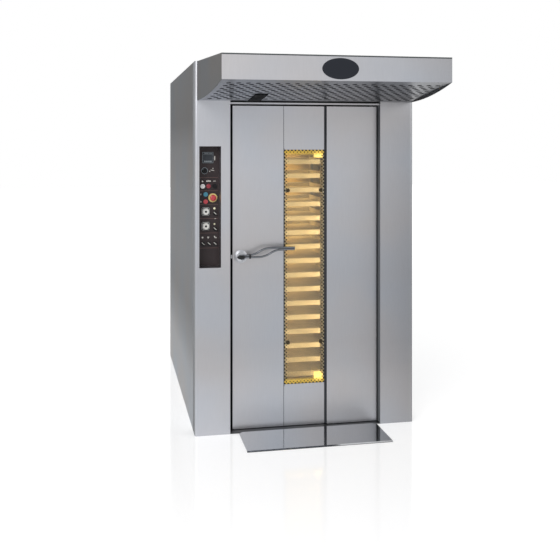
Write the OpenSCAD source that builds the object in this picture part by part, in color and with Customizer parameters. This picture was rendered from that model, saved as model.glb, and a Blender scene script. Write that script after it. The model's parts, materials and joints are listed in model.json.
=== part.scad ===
// Rotating rack oven: an insulated cabinet with a canopy hood, one hinged door with a
// tall window, and a wheeled tray rack that hangs from a driven hook and turns.
// Millimetres. X runs to the right, Y to the back, Z up. The origin is on the floor,
// under the middle of the whole footprint, hood included.

/* [Cabinet] */
// Width of the cabinet over its side panels
cab_w = 1466; // [1440:2:1560]
// Depth of the cabinet behind the pillars' front faces
cab_d = 2124; // [2100:4:2300]
// Height of the cabinet
cab_h = 2400; // [2360:10:2500]
// Thickness of the outer sheet
skin = 2; // [1.5:0.5:3]
// Width of each front pillar
pillar_w = 228; // [222:2:240]
// Depth that each pillar wraps round the side
pillar_wrap = 120; // [80:5:150]
// Radius of each pillar's front corner
pillar_r = 14; // [6:1:20]
// Depth of the joint between the two side panels
side_joint_y = 800; // [500:10:1200]
// Width of each joint between outer panels
joint_gap = 2; // [1:0.5:4]
// Thickness of the base plate
base_t = 12; // [8:1:16]
// Height of the sill under the door
sill_h = 6; // [4:1:8]
// Depth of the service space behind the rear wall
service_d = 180; // [160:5:220]

/* [Baking chamber] */
// Thickness of the insulated walls and ceiling
wall_t = 80; // [60:5:90]
// Thickness of the partition in front of the heat exchanger
partition_t = 40; // [25:5:60]
// Height of the machine room above the insulated ceiling
machine_h = 270; // [250:5:320]
// Depth of the door frame's front face
jamb_y = 165; // [155:1:190]
// Thickness of the door frame
frame_t = 60; // [40:5:80]
// Width of the way into the chamber
doorway_w = 890; // [800:10:900]
// Free space round the turning rack
turn_clear = 40; // [25:5:50]
// Height of one hot-air slot
slot_h = 12; // [6:1:20]
// Length of one hot-air slot
slot_len = 380; // [200:10:400]

/* [Door] */
// Gap between the door and the left pillar
door_gap_left = 24; // [20:1:30]
// Gap between the door and the right pillar
door_gap_right = 12; // [8:1:14]
// Gap between the door and the header plate
door_gap_top = 10; // [6:1:14]
// Height of the door's lower edge above the floor
door_z = 10; // [10:1:20]
// Depth of the right door panel behind the pillars
door_recess = 45; // [40:1:50]
// Depth of the left and middle panels behind the right one
panel_step = 15; // [10:1:20]
// Thickness of the insulated door leaf
leaf_t = 88; // [76:1:90]
// Width of the left door panel
left_panel_w = 340; // [330:2:380]
// Width of the middle door panel, which holds the window
middle_panel_w = 289; // [270:1:300]
// Width of the joint between the left and the middle door panel
panel_joint = 3; // [2:0.5:5]
// Width of the groove between the middle and the right door panel
groove_w = 10; // [6:1:14]
// Distance of the hinge axis from the door's right edge
hinge_in = 30; // [26:1:34]
// Distance of the hinge axis behind the right panel's face
hinge_back = 20; // [18:1:24]
// Setback of the leaf's hinge edge, which lets it swing past the seal
heel = 12; // [11:1:20]
// Radius of the hinge pins
hinge_pin_r = 12; // [8:1:13]

/* [Window] */
// Height of the window's lower edge
window_z = 283; // [240:1:340]
// Height of the outer pane
window_h = 1548; // [1300:1:1620]
// Joint between the pane and the panel round it
pane_joint = 4; // [3.5:0.5:6]
// Thickness of each pane
pane_t = 6; // [4:1:8]
// Width of the rebate that carries a pane
rebate = 8; // [6:1:12]
// Radius of a pane fixing's head
fixing_r = 13; // [8:1:14]
// Distance of a fixing from the pane's side edge
fixing_in = 24; // [20:1:28]
// Height of the lower pair of fixings
fixing_low_z = 558; // [400:2:800]
// Height of the upper pair of fixings
fixing_high_z = 1562; // [1300:2:1760]
// Size of a door lamp's housing
lamp_size = 44; // [30:1:46]

/* [Handle] */
// Distance of the lever's axis from the door's left edge
handle_in = 53; // [52:1:90]
// Height of the lever's axis
handle_z = 1134; // [900:1:1250]
// Radius of the round plate behind the lever
rosette_r = 43; // [34:1:50]
// Thickness of the round plate
rosette_t = 12; // [8:1:16]
// Radius of the lever's spindle
spindle_r = 10; // [8:1:12]
// Distance of the lever in front of the door panel
lever_out = 70; // [55:1:80]
// Length of the lever from its axis
lever_len = 346; // [300:1:380]
// Radius of each of the lever's two rods
rod_r = 6.5; // [5.5:0.5:8]
// Distance from one rod's centre to the other's where they lie together
rod_step = 12; // [10.5:0.5:13]
// Height that each rod rises in its bend
rod_rise = 45; // [35:1:55]
// Length of a rod's bend along the lever
rod_run = 156; // [145:1:165]
// Start of the upper rod's bend
upper_bend_x = 31; // [26:1:45]
// Distance of the lower rod's bend behind the upper one's
bend_lag = 74; // [60:1:80]
// Travel of the latch roller into the door
latch_travel = 10; // [8:1:11]

/* [Hood] */
// Reach of the hood in front of the cabinet
hood_out = 816; // [600:4:900]
// Inset of the hood's front corners from the cabinet's sides
hood_front_in = 63; // [40:1:90]
// Inset of the hood's rear corners
hood_rear_in = 14; // [14:1:30]
// Drop of the hood's front top edge below the cabinet's top
hood_drop = 31; // [15:1:60]
// Height of the hood's front
fascia_h = 145; // [130:1:180]
// Height of the folded lip at the hood's top edge
hood_lip = 8; // [5:1:14]
// Gap between the header's lip and the hood's underside
hood_rear_gap = 10; // [2:1:22]
// Radius of one hole in the underside
hole_r = 14; // [9:1:16]
// Distance from hole to hole along a row
hole_pitch = 56; // [44:1:70]
// Distance from row to row
row_pitch = 51; // [44:0.5:60]
// Distance of the first row from the hood's front
first_row = 121; // [60:1:150]
// Plain border at the ends of the rows
hole_border = 20; // [14:1:50]
// Offset of the whole pattern to the right
hole_shift = 8; // [-20:1:20]
// Length of the oval plate on the hood's front
badge_w = 214; // [150:2:260]
// Height of the oval plate
badge_h = 120; // [80:2:130]
// Thickness of the oval plate
badge_t = 3; // [2:0.5:5]
// Distance of the oval plate from the hood's middle
badge_x = 3; // [-40:1:40]
// Width of the lamp under the hood
hood_lamp_w = 78; // [50:1:110]
// Length of the lamp under the hood
hood_lamp_len = 290; // [150:5:320]
// Depth of the lamp under the hood
hood_lamp_t = 5; // [3:1:18]
// Distance of the lamp from the hood's middle, to the left
hood_lamp_x = 352; // [200:2:450]
// Distance of the lamp's rear end from the cabinet
hood_lamp_y = 10; // [5:5:200]

/* [Ramp] */
// Width of the ramp plate
ramp_w = 926; // [800:2:960]
// Reach of the ramp plate in front of the cabinet
ramp_len = 345; // [200:5:450]
// Height of the ramp plate
ramp_t = 8; // [6:1:9]
// Depth of the ramp's sloping front lip
ramp_lip = 8; // [4:1:30]
// Distance of the ramp from the cabinet's middle
ramp_x = 12; // [-10:1:14]
// Chamfer of the ramp's rear corners
ramp_corner = 25; // [10:1:60]

/* [Control panel] */
// Distance of the recess from the cabinet's left side
recess_in = 28; // [28:1:40]
// Width of the recess
recess_w = 140; // [134:1:150]
// Height of the recess
recess_h = 780; // [760:2:820]
// Height of the recess's upper edge
recess_top = 1854; // [1700:2:1950]
// Depth of the recess
recess_d = 110; // [80:1:140]
// Thickness of the recess's sheet
recess_t = 2; // [1.5:0.5:3]
// Border of the cover plate at the recess's left
cover_left = 13; // [8:1:16]
// Border of the cover plate at the recess's right
cover_right = 29; // [15:1:34]
// Border of the cover plate above the recess
cover_top = 18; // [10:1:40]
// Border of the cover plate below the recess
cover_bottom = 76; // [20:1:120]
// Thickness of the cover plate
cover_t = 1.5; // [1:0.5:3]
// Thickness of the control panel
panel_t = 3; // [2:0.5:5]
// Distance of the lower switches' columns from the push buttons' columns
selector_shift = 4; // [0:1:6]
// Distance from one column of switches to the next
column_pitch = 39; // [36:0.5:40]
// Radius of a push button's cap
button_r = 15; // [11:0.5:16]
// Length of a push button's cap
button_len = 9; // [6:1:14]
// Travel of a push button
button_travel = 4; // [2:0.5:5]
// Radius of a selector switch
selector_r = 14; // [10:0.5:15]
// Radius of the thermostat knob
knob_r = 22; // [16:1:24]
// Width of a timer's square bezel
bezel_w = 60; // [48:1:62]
// Thickness of a timer's bezel
bezel_t = 8; // [5:1:12]
// Radius of a timer's dial
dial_r = 21; // [15:1:23]
// Radius of the emergency stop's disc
stop_disc_r = 29; // [24:1:30]
// Radius of the emergency stop's mushroom
stop_r = 20; // [15:1:21]
// Width of the digital controller
controller_w = 72; // [60:1:78]

/* [Rack] */
// Width of a baking tray
tray_w = 600; // [560:5:620]
// Depth of a baking tray
tray_d = 800; // [760:5:820]
// Height of a tray's rim
tray_rim = 34; // [20:1:38]
// Thickness of a tray's sheet
tray_t = 2; // [1.5:0.5:3]
// Distance from one tray to the next
tray_pitch = 99; // [90:1:100]
// Height above the last tray that the rack's top, its bail and the hook take up
rack_head = 195; // [190:1:290]
// Width of a rack post
post_w = 20; // [16:1:24]
// Width of a tray runner
runner_w = 22; // [14:1:30]
// Radius of a rack wheel
wheel_r = 50; // [40:1:50]
// Width of a rack wheel
wheel_w = 30; // [20:1:34]
// Height that the hook holds the wheels above the floor
wheel_lift = 6; // [4:1:10]
// Radius of the drive shaft
shaft_r = 20; // [15:1:25]

/* [Machine room] */
// Radius of the flue pipe's socket
flue_r = 100; // [75:5:100]
// Depth of the flue pipe's socket
flue_socket = 80; // [50:5:100]
// Wall of the flue pipe and the exchanger tubes
tube_t = 3; // [2:0.5:4]
// Radius of one exchanger tube
tube_r = 32; // [25:1:36]
// Height of the firing drum
drum_h = 1400; // [1100:10:1450]
// Radius of the air fan's wheel
fan_r = 130; // [100:5:160]
// Height of the air fan's wheel
fan_h = 100; // [60:5:120]
// Radius of the fan motor
fan_motor_r = 90; // [70:5:110]
// Height of the fan motor
fan_motor_h = 220; // [180:5:240]
// Width of the rack's gear box
gear_box_w = 180; // [150:5:200]
// Height of the rack's gear box
gear_box_h = 130; // [120:5:160]
// Radius of the gear box's motor
gear_motor_r = 62; // [50:1:68]
// Length of the gear box's motor
gear_motor_len = 230; // [180:5:300]
// Depth that each drive shaft reaches into its motor
shaft_hold = 100; // [80:5:110]

/* [Hidden] */
$fn = 48;

// Named clearances
run_fit = 0.05;      // radial clearance of a shaft that turns in a bore
seat = 0.2;          // joint between two fixed pieces that aren't pressed together
part_gap = 0.3;      // gap between a moving piece and a fixed one

// Overall frame: the pillars' front faces lie front_y from the origin
front_y = -(cab_d - hood_out - badge_t) / 2;
half_w = cab_w / 2;
inner_x = half_w - skin;
opening_w = cab_w - 2 * pillar_w;
wall_x = inner_x - wall_t;
frame_back = jamb_y + frame_t;
header_plate_t = 10;
header_lip_y = 12;
header_y = 40;
roof_z = cab_h - skin;
ceiling_top = roof_z - machine_h;
ceiling_z = ceiling_top - wall_t;

// Turning rack
runner_t = 2;
rack_w = tray_w + 2 * (3 + runner_t + post_w);
rack_bar = 20;
swing_r = norm([rack_w / 2, tray_d / 2]);
rotor_y = frame_back + swing_r + turn_clear;
duct_x = swing_r + turn_clear;
partition_y = rotor_y + swing_r + turn_clear;
axle_z = base_t + wheel_lift + wheel_r;
axle_r = 8;
rack_low_z = axle_z + wheel_r + 4;
first_tray_z = rack_low_z + rack_bar + runner_t;
tray_count = floor((ceiling_z - rack_head - first_tray_z) / tray_pitch) + 1;
last_tray_z = first_tray_z + (tray_count - 1) * tray_pitch;
rack_top_z = last_tray_z + tray_rim + 36;
tray_stop_t = 3;
tray_rear = tray_d / 2 - tray_stop_t - part_gap;
runner_x = rack_w / 2 - post_w - runner_t;
bail_w = 200;
bail_bar = 16;
bail_z = rack_top_z + rack_bar + 34;
hook_plate_t = 12;
hook_plate_r = 60;
hook_plate_z = bail_z + bail_bar + 26;
hook_t = 16;
wheel_x = rack_w / 2 - post_w / 2 - wheel_w / 2 - 30;
wheel_y = tray_d / 2 - wheel_r - 20;
fork_t = 4;

// Door leaf
door_left = -opening_w / 2 + door_gap_left;
door_right = opening_w / 2 - door_gap_right;
door_top = ceiling_top - door_gap_top;
seam_left = door_left + left_panel_w;
seam_right = seam_left + middle_panel_w;
face_y = door_recess + panel_step;
leaf_y = face_y + skin;
leaf_back = leaf_y + leaf_t;
hinge_x = door_right - hinge_in;
hinge_y = door_recess + hinge_back;
middle_right = seam_right - groove_w;
pane_x0 = seam_left + pane_joint;
pane_x1 = middle_right - pane_joint;
pane_y = face_y + pane_t;
inner_pane_in = 6;
bead_w = 15;
seal_t = 3;

// Handle and latch
handle_x = door_left + handle_in;
lever_y = face_y - lever_out;
hub_r = 15;
rod_low = 3;
bend_r = (rod_run * rod_run + rod_rise * rod_rise) / (4 * rod_rise);
bend_a = 2 * atan(rod_rise / rod_run);
bend_bead = 0.15;    // height of the weld bead in the middle of each bend
latch_y = face_y + 15;
latch_half = 8;
latch_tip = 1.2;
strike_t = 5;

// Hood
hood_front_z = cab_h - hood_drop;
fascia_z = hood_front_z - fascia_h;
hood_rear_z = ceiling_top + header_plate_t + hood_rear_gap;
hood_front_half = half_w - hood_front_in;
hood_rear_half = half_w - hood_rear_in;
hood_taper = atan((hood_rear_half - hood_front_half) / (hood_out - skin));
hood_end_len = norm([hood_rear_half - hood_front_half, hood_out - skin]) - part_gap;
hood_rise = hood_drop - skin;
grille_drop = fascia_z - hood_rear_z;
grille_slope = atan(grille_drop / (hood_out - skin));
grille_len = norm([grille_drop, hood_out - skin]) - part_gap;

// Controls, measured from the recess's middle and its upper edge
recess_x = -half_w + recess_in + recess_w / 2;
recess_low = recess_top - recess_h;
columns = [-column_pitch + 2, 2, column_pitch + 2];
controller_row = 74;
knob_row = 160;
button_row = 261;
blue_row = 314;
red_row = 361;
stop_row = 337;
timer_rows = [426, 521];
timer_lamp_rows = [407, 509];
timer_selector_rows = [440, 541];
selector_row = 637;
knob_col = -24;
pair_col = -18;
stop_col = 30;
timer_col = -17;
controller_col = -3;
stem_r = 5;
stem_len = 18;
pilot_r = 15;
small_lamp_r = 6;

// Machine room
exchanger_y0 = partition_y + partition_t;
rear_wall_y = cab_d - skin - service_d - wall_t;
exchanger_y = (exchanger_y0 + rear_wall_y) / 2;
drum_r = (rear_wall_y - exchanger_y0) / 2 - 30;
drum_x = -230;
tube_y = drum_r * 3 / 8;
fan_x = 340;
fan_z = ceiling_z - fan_h - 60;
fan_shaft_r = 12;
smoke_box_h = 90;
smoke_box_x = wall_x - 60;
stand_h = 40;
smoke_low_z = base_t + stand_h;
smoke_high_z = smoke_low_z + smoke_box_h + drum_h;
burner_half = 130;
burner_len = 150;
burner_z = smoke_low_z + smoke_box_h + drum_h / 2;

// A block between two opposite corners
module block(low, high) {
    translate(low) cube(high - low);
}

// Places children so that y = 0 is the pillars' front faces
module from_front() {
    translate([0, front_y, 0]) children();
}

// A cylinder along Y from y0 to y1, at x and z
module rod_y(x, z, y0, y1, r) {
    translate([x, y1, z]) rotate([90, 0, 0]) cylinder(r = r, h = y1 - y0);
}

// A cylinder along X from x0 to x1, at y and z
module rod_x(x0, x1, y, z, r) {
    translate([x0, y, z]) rotate([0, 90, 0]) cylinder(r = r, h = x1 - x0);
}

// Children and their mirror image across the cabinet's middle
module both_sides() {
    children();
    mirror([1, 0, 0]) children();
}

// Outer cabinet

module base_frame() {
    color("dimgray") from_front() difference() {
        union() {
            block([-inner_x, jamb_y, 0], [inner_x, cab_d - skin, base_t]);
            block([-opening_w / 2, skin, 0], [opening_w / 2, jamb_y, sill_h]);
            both_sides() {
                block([-inner_x, pillar_r, 0], [-opening_w / 2 - skin, jamb_y, base_t]);
                block([pillar_r - half_w, skin, 0], [-opening_w / 2 - skin, jamb_y, base_t]);
            }
        }
        translate([hinge_x, hinge_y, 2]) cylinder(r = hinge_pin_r + run_fit, h = sill_h);
    }
}

// Plan of the left pillar's folded sheet, its outer corner at the origin
module pillar_plan() {
    translate([pillar_r, 0]) square([pillar_w - pillar_r, skin]);
    translate([0, pillar_r]) square([skin, pillar_wrap - pillar_r]);
    translate([pillar_w - skin, 0]) square([skin, jamb_y]);
    intersection() {
        translate([pillar_r, pillar_r]) difference() {
            circle(r = pillar_r);
            circle(r = pillar_r - skin);
        }
        square([pillar_r, pillar_r]);
    }
}

module left_pillar() {
    color("silver") from_front() {
        difference() {
            translate([-half_w, 0, 0]) linear_extrude(roof_z) pillar_plan();
            translate([recess_x, 0, recess_low])
                block([-recess_w / 2 - recess_t - seat, -1, -recess_t - seat],
                      [recess_w / 2 + recess_t + seat, skin + 1, recess_h + recess_t + seat]);
        }
        // strike plate for the latch roller
        block([-opening_w / 2, latch_y - 18, handle_z - 45],
              [-opening_w / 2 + strike_t, latch_y + 18, handle_z + 45]);
    }
}

module right_pillar() {
    color("silver") from_front()
        mirror([1, 0, 0]) translate([-half_w, 0, 0]) linear_extrude(roof_z) pillar_plan();
}

// Insulated jambs and lintel that the door closes against
module door_frame() {
    color("gray") from_front() {
        both_sides()
            block([-inner_x, jamb_y, base_t], [-doorway_w / 2, frame_back, ceiling_top]);
        block([seat - doorway_w / 2, jamb_y, ceiling_z],
              [doorway_w / 2 - seat, frame_back, ceiling_top]);
    }
}

// Lip, hinge plate and front sheet above the door
module door_header() {
    color("silver") from_front() difference() {
        union() {
            block([-opening_w / 2, header_lip_y, ceiling_top],
                  [opening_w / 2, frame_back, ceiling_top + header_plate_t]);
            block([-opening_w / 2, header_y, ceiling_top + header_plate_t],
                  [opening_w / 2, header_y + skin, roof_z]);
        }
        translate([hinge_x, hinge_y, ceiling_top - 1])
            cylinder(r = hinge_pin_r + run_fit, h = header_plate_t - 1);
    }
}

// Front and rear side panels, left and right, and the back panel with its louvres
module outer_panels() {
    color("slategray") from_front() {
        both_sides() {
            block([-half_w, pillar_wrap + joint_gap, 0], [-inner_x, side_joint_y, cab_h]);
            block([-half_w, side_joint_y + joint_gap, 0], [-inner_x, cab_d, cab_h]);
        }
        difference() {
            block([seat - inner_x, cab_d - skin, 0], [inner_x - seat, cab_d, cab_h]);
            for (z = [burner_z - 120 : 40 : burner_z + 120], x = [-320, 120])
                block([x, cab_d - skin - 1, z], [x + 200, cab_d + 1, z + 10]);
        }
    }
}

// Roof over the cabinet and both pillars
module roof_panel() {
    color("slategray") from_front() translate([0, 0, roof_z]) difference() {
        union() {
            block([-inner_x, pillar_wrap, 0], [inner_x, cab_d - skin, skin]);
            block([-half_w, pillar_r, 0], [half_w, pillar_wrap, skin]);
            block([pillar_r - half_w, 0, 0], [half_w - pillar_r, pillar_wrap, skin]);
            both_sides() translate([pillar_r - half_w, pillar_r, 0])
                cylinder(r = pillar_r, h = skin);
        }
        translate([drum_x, exchanger_y, -1])
            cylinder(r = flue_r + tube_t + part_gap, h = skin + 2);
    }
}

// Insulated side walls, partition and rear wall of the hot space
module chamber_walls() {
    color("lightsteelblue") from_front() {
        both_sides()
            block([-inner_x, frame_back, base_t],
                  [-wall_x, rear_wall_y + wall_t, ceiling_z]);
        block([seat - duct_x, partition_y, base_t],
              [duct_x - seat, partition_y + partition_t, ceiling_z]);
        difference() {
            block([seat - wall_x, rear_wall_y, base_t],
                  [wall_x - seat, rear_wall_y + wall_t, ceiling_z]);
            rod_y(drum_x, burner_z, rear_wall_y - 1, rear_wall_y + wall_t + 1, tube_r + part_gap);
        }
    }
}

module chamber_ceiling() {
    color("lightsteelblue") from_front() difference() {
        block([-inner_x, frame_back, ceiling_z],
              [inner_x, rear_wall_y + wall_t, ceiling_top]);
        translate([0, rotor_y, ceiling_z - 1])
            cylinder(r = shaft_r + run_fit, h = wall_t + 2);
        translate([fan_x, exchanger_y, ceiling_z - 1])
            cylinder(r = fan_shaft_r + run_fit, h = wall_t + 2);
        translate([drum_x, exchanger_y, ceiling_z - 1])
            cylinder(r = flue_r + tube_t + part_gap, h = wall_t + 2);
    }
}

// Slotted sheets that blow hot air over the trays, left and right
module air_duct_panels() {
    slot_y = rotor_y - slot_len / 2;
    color("silver") from_front() both_sides() difference() {
        union() {
            block([-duct_x - skin, frame_back + skin, base_t],
                  [-duct_x, partition_y + partition_t, ceiling_z]);
            block([-wall_x, frame_back, base_t], [-duct_x, frame_back + skin, ceiling_z]);
        }
        for (i = [0 : tray_count - 1])
            block([-duct_x - skin - 1, slot_y, first_tray_z + tray_rim + 20 + i * tray_pitch],
                  [-duct_x + 1, slot_y + slot_len,
                   first_tray_z + tray_rim + 20 + slot_h + i * tray_pitch]);
    }
}

// Seal on three sides of the doorway: a flat strip with a raised bead
module door_seal() {
    module portal(outer_x, outer_z, depth) {
        translate([0, jamb_y, 0]) rotate([90, 0, 0]) linear_extrude(depth) difference() {
            translate([-outer_x, base_t]) square([2 * outer_x, outer_z - base_t]);
            translate([-doorway_w / 2, base_t - 1])
                square([doorway_w, ceiling_z - base_t + 1]);
        }
    }
    color("black") from_front() {
        portal(opening_w / 2 - seat, ceiling_top, seal_t);
        portal(doorway_w / 2 + bead_w, ceiling_z + bead_w, jamb_y - leaf_back - part_gap);
    }
}

module ramp_plate() {
    rear = skin - part_gap;
    color("lightgray") from_front() translate([ramp_x - ramp_w / 2, 0, 0]) intersection() {
        rotate([90, 0, 90]) linear_extrude(ramp_w) polygon([
            [rear, 0], [rear, ramp_t], [ramp_lip - ramp_len, ramp_t], [-ramp_len, 2],
            [-ramp_len, 0]
        ]);
        linear_extrude(ramp_t) polygon([
            [0, -ramp_len], [ramp_w, -ramp_len], [ramp_w, rear - ramp_corner],
            [ramp_w - ramp_corner, rear], [ramp_corner, rear], [0, rear - ramp_corner]
        ]);
    }
}

// Hood

module hood_fascia() {
    color("silver") from_front()
        block([-hood_front_half, -hood_out, fascia_z],
              [hood_front_half, skin - hood_out, hood_front_z - hood_lip]);
}

// Side outline of a hood end, whose lower edge is one arc, level at the cabinet
module hood_end_outline() {
    arc_r = (hood_end_len * hood_end_len + grille_drop * grille_drop) / (2 * grille_drop);
    intersection() {
        polygon([
            [0, hood_rear_z - 1], [hood_end_len, hood_rear_z - 1],
            [hood_end_len, hood_front_z - skin - seat + hood_rise],
            [0, hood_front_z - skin - seat]
        ]);
        translate([hood_end_len, hood_rear_z + arc_r]) circle(r = arc_r, $fn = 720);
    }
}

module hood_end_panels() {
    color("dimgray") from_front() both_sides()
        translate([-hood_front_half, skin - hood_out, 0]) rotate([0, 0, hood_taper])
            rotate([90, 0, 90]) linear_extrude(skin) hood_end_outline();
}

// Plan of a hood sheet that follows the taper of the ends
module hood_plan(front_half, rear_half, length) {
    polygon([
        [-front_half, 0], [front_half, 0], [rear_half, length], [-rear_half, length]
    ]);
}

module hood_top_panel() {
    under_z = hood_front_z - skin;
    color("dimgray") from_front() intersection() {
        translate([-half_w, 0, 0]) rotate([90, 0, 90]) linear_extrude(cab_w) polygon([
            [-hood_out, hood_front_z - hood_lip], [skin - hood_out, hood_front_z - hood_lip],
            [skin - hood_out, under_z + skin * hood_rise / hood_out],
            [0, under_z + hood_rise], [0, hood_front_z + hood_rise], [-hood_out, hood_front_z]
        ]);
        translate([0, -hood_out, 0]) linear_extrude(cab_h)
            hood_plan(hood_front_half, hood_rear_half, hood_out);
    }
}

// Places children in the sloping plane of the hood's underside
module on_grille() {
    translate([0, skin - hood_out, fascia_z]) rotate([-grille_slope, 0, 0]) children();
}

module hood_grille() {
    front_half = hood_front_half - skin - seat;
    widen = (hood_rear_half - hood_front_half) / grille_len;
    rows = floor((grille_len - first_row - hole_r - 20) / row_pitch);
    reach = front_half - hole_border - hole_r;
    color("gray") from_front() on_grille() linear_extrude(skin) difference() {
        hood_plan(front_half, front_half + widen * grille_len, grille_len);
        for (i = [0 : rows]) {
            y = first_row + i * row_pitch;
            spread = 1 + widen * y / front_half;
            shift = hole_shift + (i % 2 == 0 ? 0 : hole_pitch / 2);
            first = ceil((-reach - shift) / hole_pitch);
            for (j = [first : floor((reach - shift) / hole_pitch)])
                translate([(shift + j * hole_pitch) * spread, y]) circle(r = hole_r, $fn = 24);
        }
    }
}

module hood_badge() {
    color("#22252d") from_front()
        translate([badge_x, -hood_out, fascia_z + (fascia_h - hood_lip) / 2])
            rotate([90, 0, 0]) linear_extrude(badge_t)
                scale([badge_w / badge_h, 1]) circle(d = badge_h, $fn = 96);
}

module hood_lamp() {
    color("black") from_front() on_grille()
        block([-hood_lamp_x - hood_lamp_w / 2, grille_len - hood_lamp_y - hood_lamp_len,
               -hood_lamp_t],
              [-hood_lamp_x + hood_lamp_w / 2, grille_len - hood_lamp_y, 0]);
}

// Controls

// Places children in front of the control panel, at a column and a row
module on_panel(col, row) {
    translate([recess_x + col, recess_d, recess_top - row]) children();
}

// A turned shape along Y whose foot is at the panel's face, pointing to the front
module turned(r, length, from = 0) {
    rod_y(0, 0, -from - length, -from, r);
}

// Stem of a switch, through the panel
module stem(from) {
    rod_y(0, 0, -from, stem_len, stem_r);
}

module control_box() {
    outer_x = recess_w / 2 + recess_t;
    color("silver") from_front() translate([recess_x, 0, recess_low]) difference() {
        union() {
            block([-recess_w / 2 - cover_left, -cover_t, -cover_bottom],
                  [recess_w / 2 + cover_right, 0, recess_h + cover_top]);
            block([-outer_x, -cover_t, -recess_t],
                  [outer_x, recess_d + panel_t, recess_h + recess_t]);
        }
        block([-recess_w / 2, -cover_t - 1, 0],
              [recess_w / 2, recess_d + panel_t + 1, recess_h]);
    }
}

module control_panel() {
    color("#2b2422") from_front() difference() {
        block([recess_x - recess_w / 2, recess_d, recess_low],
              [recess_x + recess_w / 2, recess_d + panel_t, recess_top]);
        stem_places() rod_y(0, 0, -1, panel_t + 1, stem_r + run_fit);
    }
}

// Every place where a stem passes through the panel
module stem_places() {
    on_panel(knob_col, knob_row) children();
    for (i = [0, 1]) {
        on_panel(timer_col, timer_rows[i]) children();
        on_panel(columns[2] + selector_shift, timer_selector_rows[i]) children();
    }
    for (col = columns) on_panel(col + selector_shift, selector_row) children();
    for (col = [columns[0], columns[2]]) on_panel(col, button_row) children();
    on_panel(pair_col, blue_row) children();
    on_panel(pair_col, red_row) children();
    on_panel(stop_col, stop_row) children();
}

module controller_display() {
    color("#3a3d42") from_front() on_panel(controller_col, controller_row)
        block([-controller_w / 2, -6, -controller_w / 2], [controller_w / 2, 0, controller_w / 2]);
}

module timer_bezels() {
    color("lightgray") from_front() for (row = timer_rows)
        on_panel(timer_col, row) difference() {
            block([-bezel_w / 2, -bezel_t, -bezel_w / 2], [bezel_w / 2, 0, bezel_w / 2]);
            rod_y(0, 0, -bezel_t - 1, 1, stem_r + run_fit);
        }
}

module pilot_lamps() {
    color("indianred") from_front() {
        on_panel(columns[1], button_row) turned(pilot_r, 8);
        on_panel(columns[2], timer_lamp_rows[0]) turned(small_lamp_r + 2, 7);
        on_panel(columns[2], timer_lamp_rows[1]) turned(small_lamp_r, 7);
    }
}

module emergency_disc() {
    color("gold") from_front() on_panel(stop_col, stop_row) difference() {
        turned(stop_disc_r, 3);
        rod_y(0, 0, -4, 1, stem_r + run_fit);
    }
}

// A selector switch: a round base with a raised grip bar
module selector() {
    color("#1c1c1e") {
        turned(selector_r, 9, part_gap);
        rotate([0, -35, 0])
            block([-3.5, -24, -selector_r + 1], [3.5, -9, selector_r - 1]);
        stem(part_gap);
    }
}

// A push button whose cap stands off by its travel
module button(shade, r = button_r) {
    color(shade) {
        turned(r, button_len, button_travel + part_gap);
        stem(button_travel + part_gap);
    }
}

module thermostat_knob() {
    color("#26282c") from_front() on_panel(knob_col, knob_row) {
        turned(knob_r, 6, part_gap);
        turned(knob_r - 5, 14, part_gap + 6);
        stem(part_gap);
    }
}

module timer_dial(row) {
    color("whitesmoke") from_front() on_panel(timer_col, row) {
        turned(dial_r, 6, bezel_t + part_gap);
        turned(dial_r / 2, 12, bezel_t + part_gap + 6);
        stem(bezel_t + part_gap);
    }
}

// A selector in one column of the switches, at a row
module selector_at(column, row) {
    from_front() on_panel(columns[column] + selector_shift, row) selector();
}

module upper_timer_dial() { timer_dial(timer_rows[0]); }
module lower_timer_dial() { timer_dial(timer_rows[1]); }
module upper_selector() { selector_at(2, timer_selector_rows[0]); }
module lower_selector() { selector_at(2, timer_selector_rows[1]); }
module left_selector() { selector_at(0, selector_row); }
module middle_selector() { selector_at(1, selector_row); }
module right_selector() { selector_at(2, selector_row); }
module white_button() { from_front() on_panel(columns[0], button_row) button("white"); }
module black_button() { from_front() on_panel(columns[2], button_row) button("#151517"); }
module blue_button() { from_front() on_panel(pair_col, blue_row) button("steelblue"); }
module red_button() { from_front() on_panel(pair_col, red_row) button("crimson"); }

module emergency_button() {
    color("red") from_front() on_panel(stop_col, stop_row) {
        turned(stop_r - 6, 14, button_travel + 3 + part_gap);
        turned(stop_r, 10, button_travel + 17 + part_gap);
        stem(button_travel + 3 + part_gap);
    }
}

// Drives and heating

module gear_motor() {
    box_half = gear_box_w / 2;
    color("darkslategray") from_front() translate([0, rotor_y, ceiling_top]) difference() {
        union() {
            block([-box_half, -box_half, 0], [box_half, box_half, gear_box_h]);
            translate([0, box_half, gear_motor_r + 8]) rotate([-90, 0, 0])
                cylinder(r = gear_motor_r, h = gear_motor_len);
        }
        translate([0, 0, -1]) cylinder(r = shaft_r + run_fit, h = shaft_hold + 11);
    }
}

// Upright pipe of the heat exchanger, shrunk by its wall where it is the inside
module pipe(x, y, z, r, h, wall = 0) {
    translate([x, y, z - wall]) cylinder(r = r - wall, h = h + 2 * wall);
}

// Box of the heat exchanger over its full width, from z up, shrunk likewise
module smoke_box(z, wall = 0) {
    block([-smoke_box_x + wall, -drum_r + wall, z + wall],
          [smoke_box_x - wall, drum_r - wall, z + smoke_box_h - wall]);
}

// Places of the exchanger's tubes
module tube_places() {
    for (x = [tube_r : 2.6 * tube_r : smoke_box_x - 2 * tube_r], y = [-tube_y, tube_y])
        translate([x, y, 0]) children();
}

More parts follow.
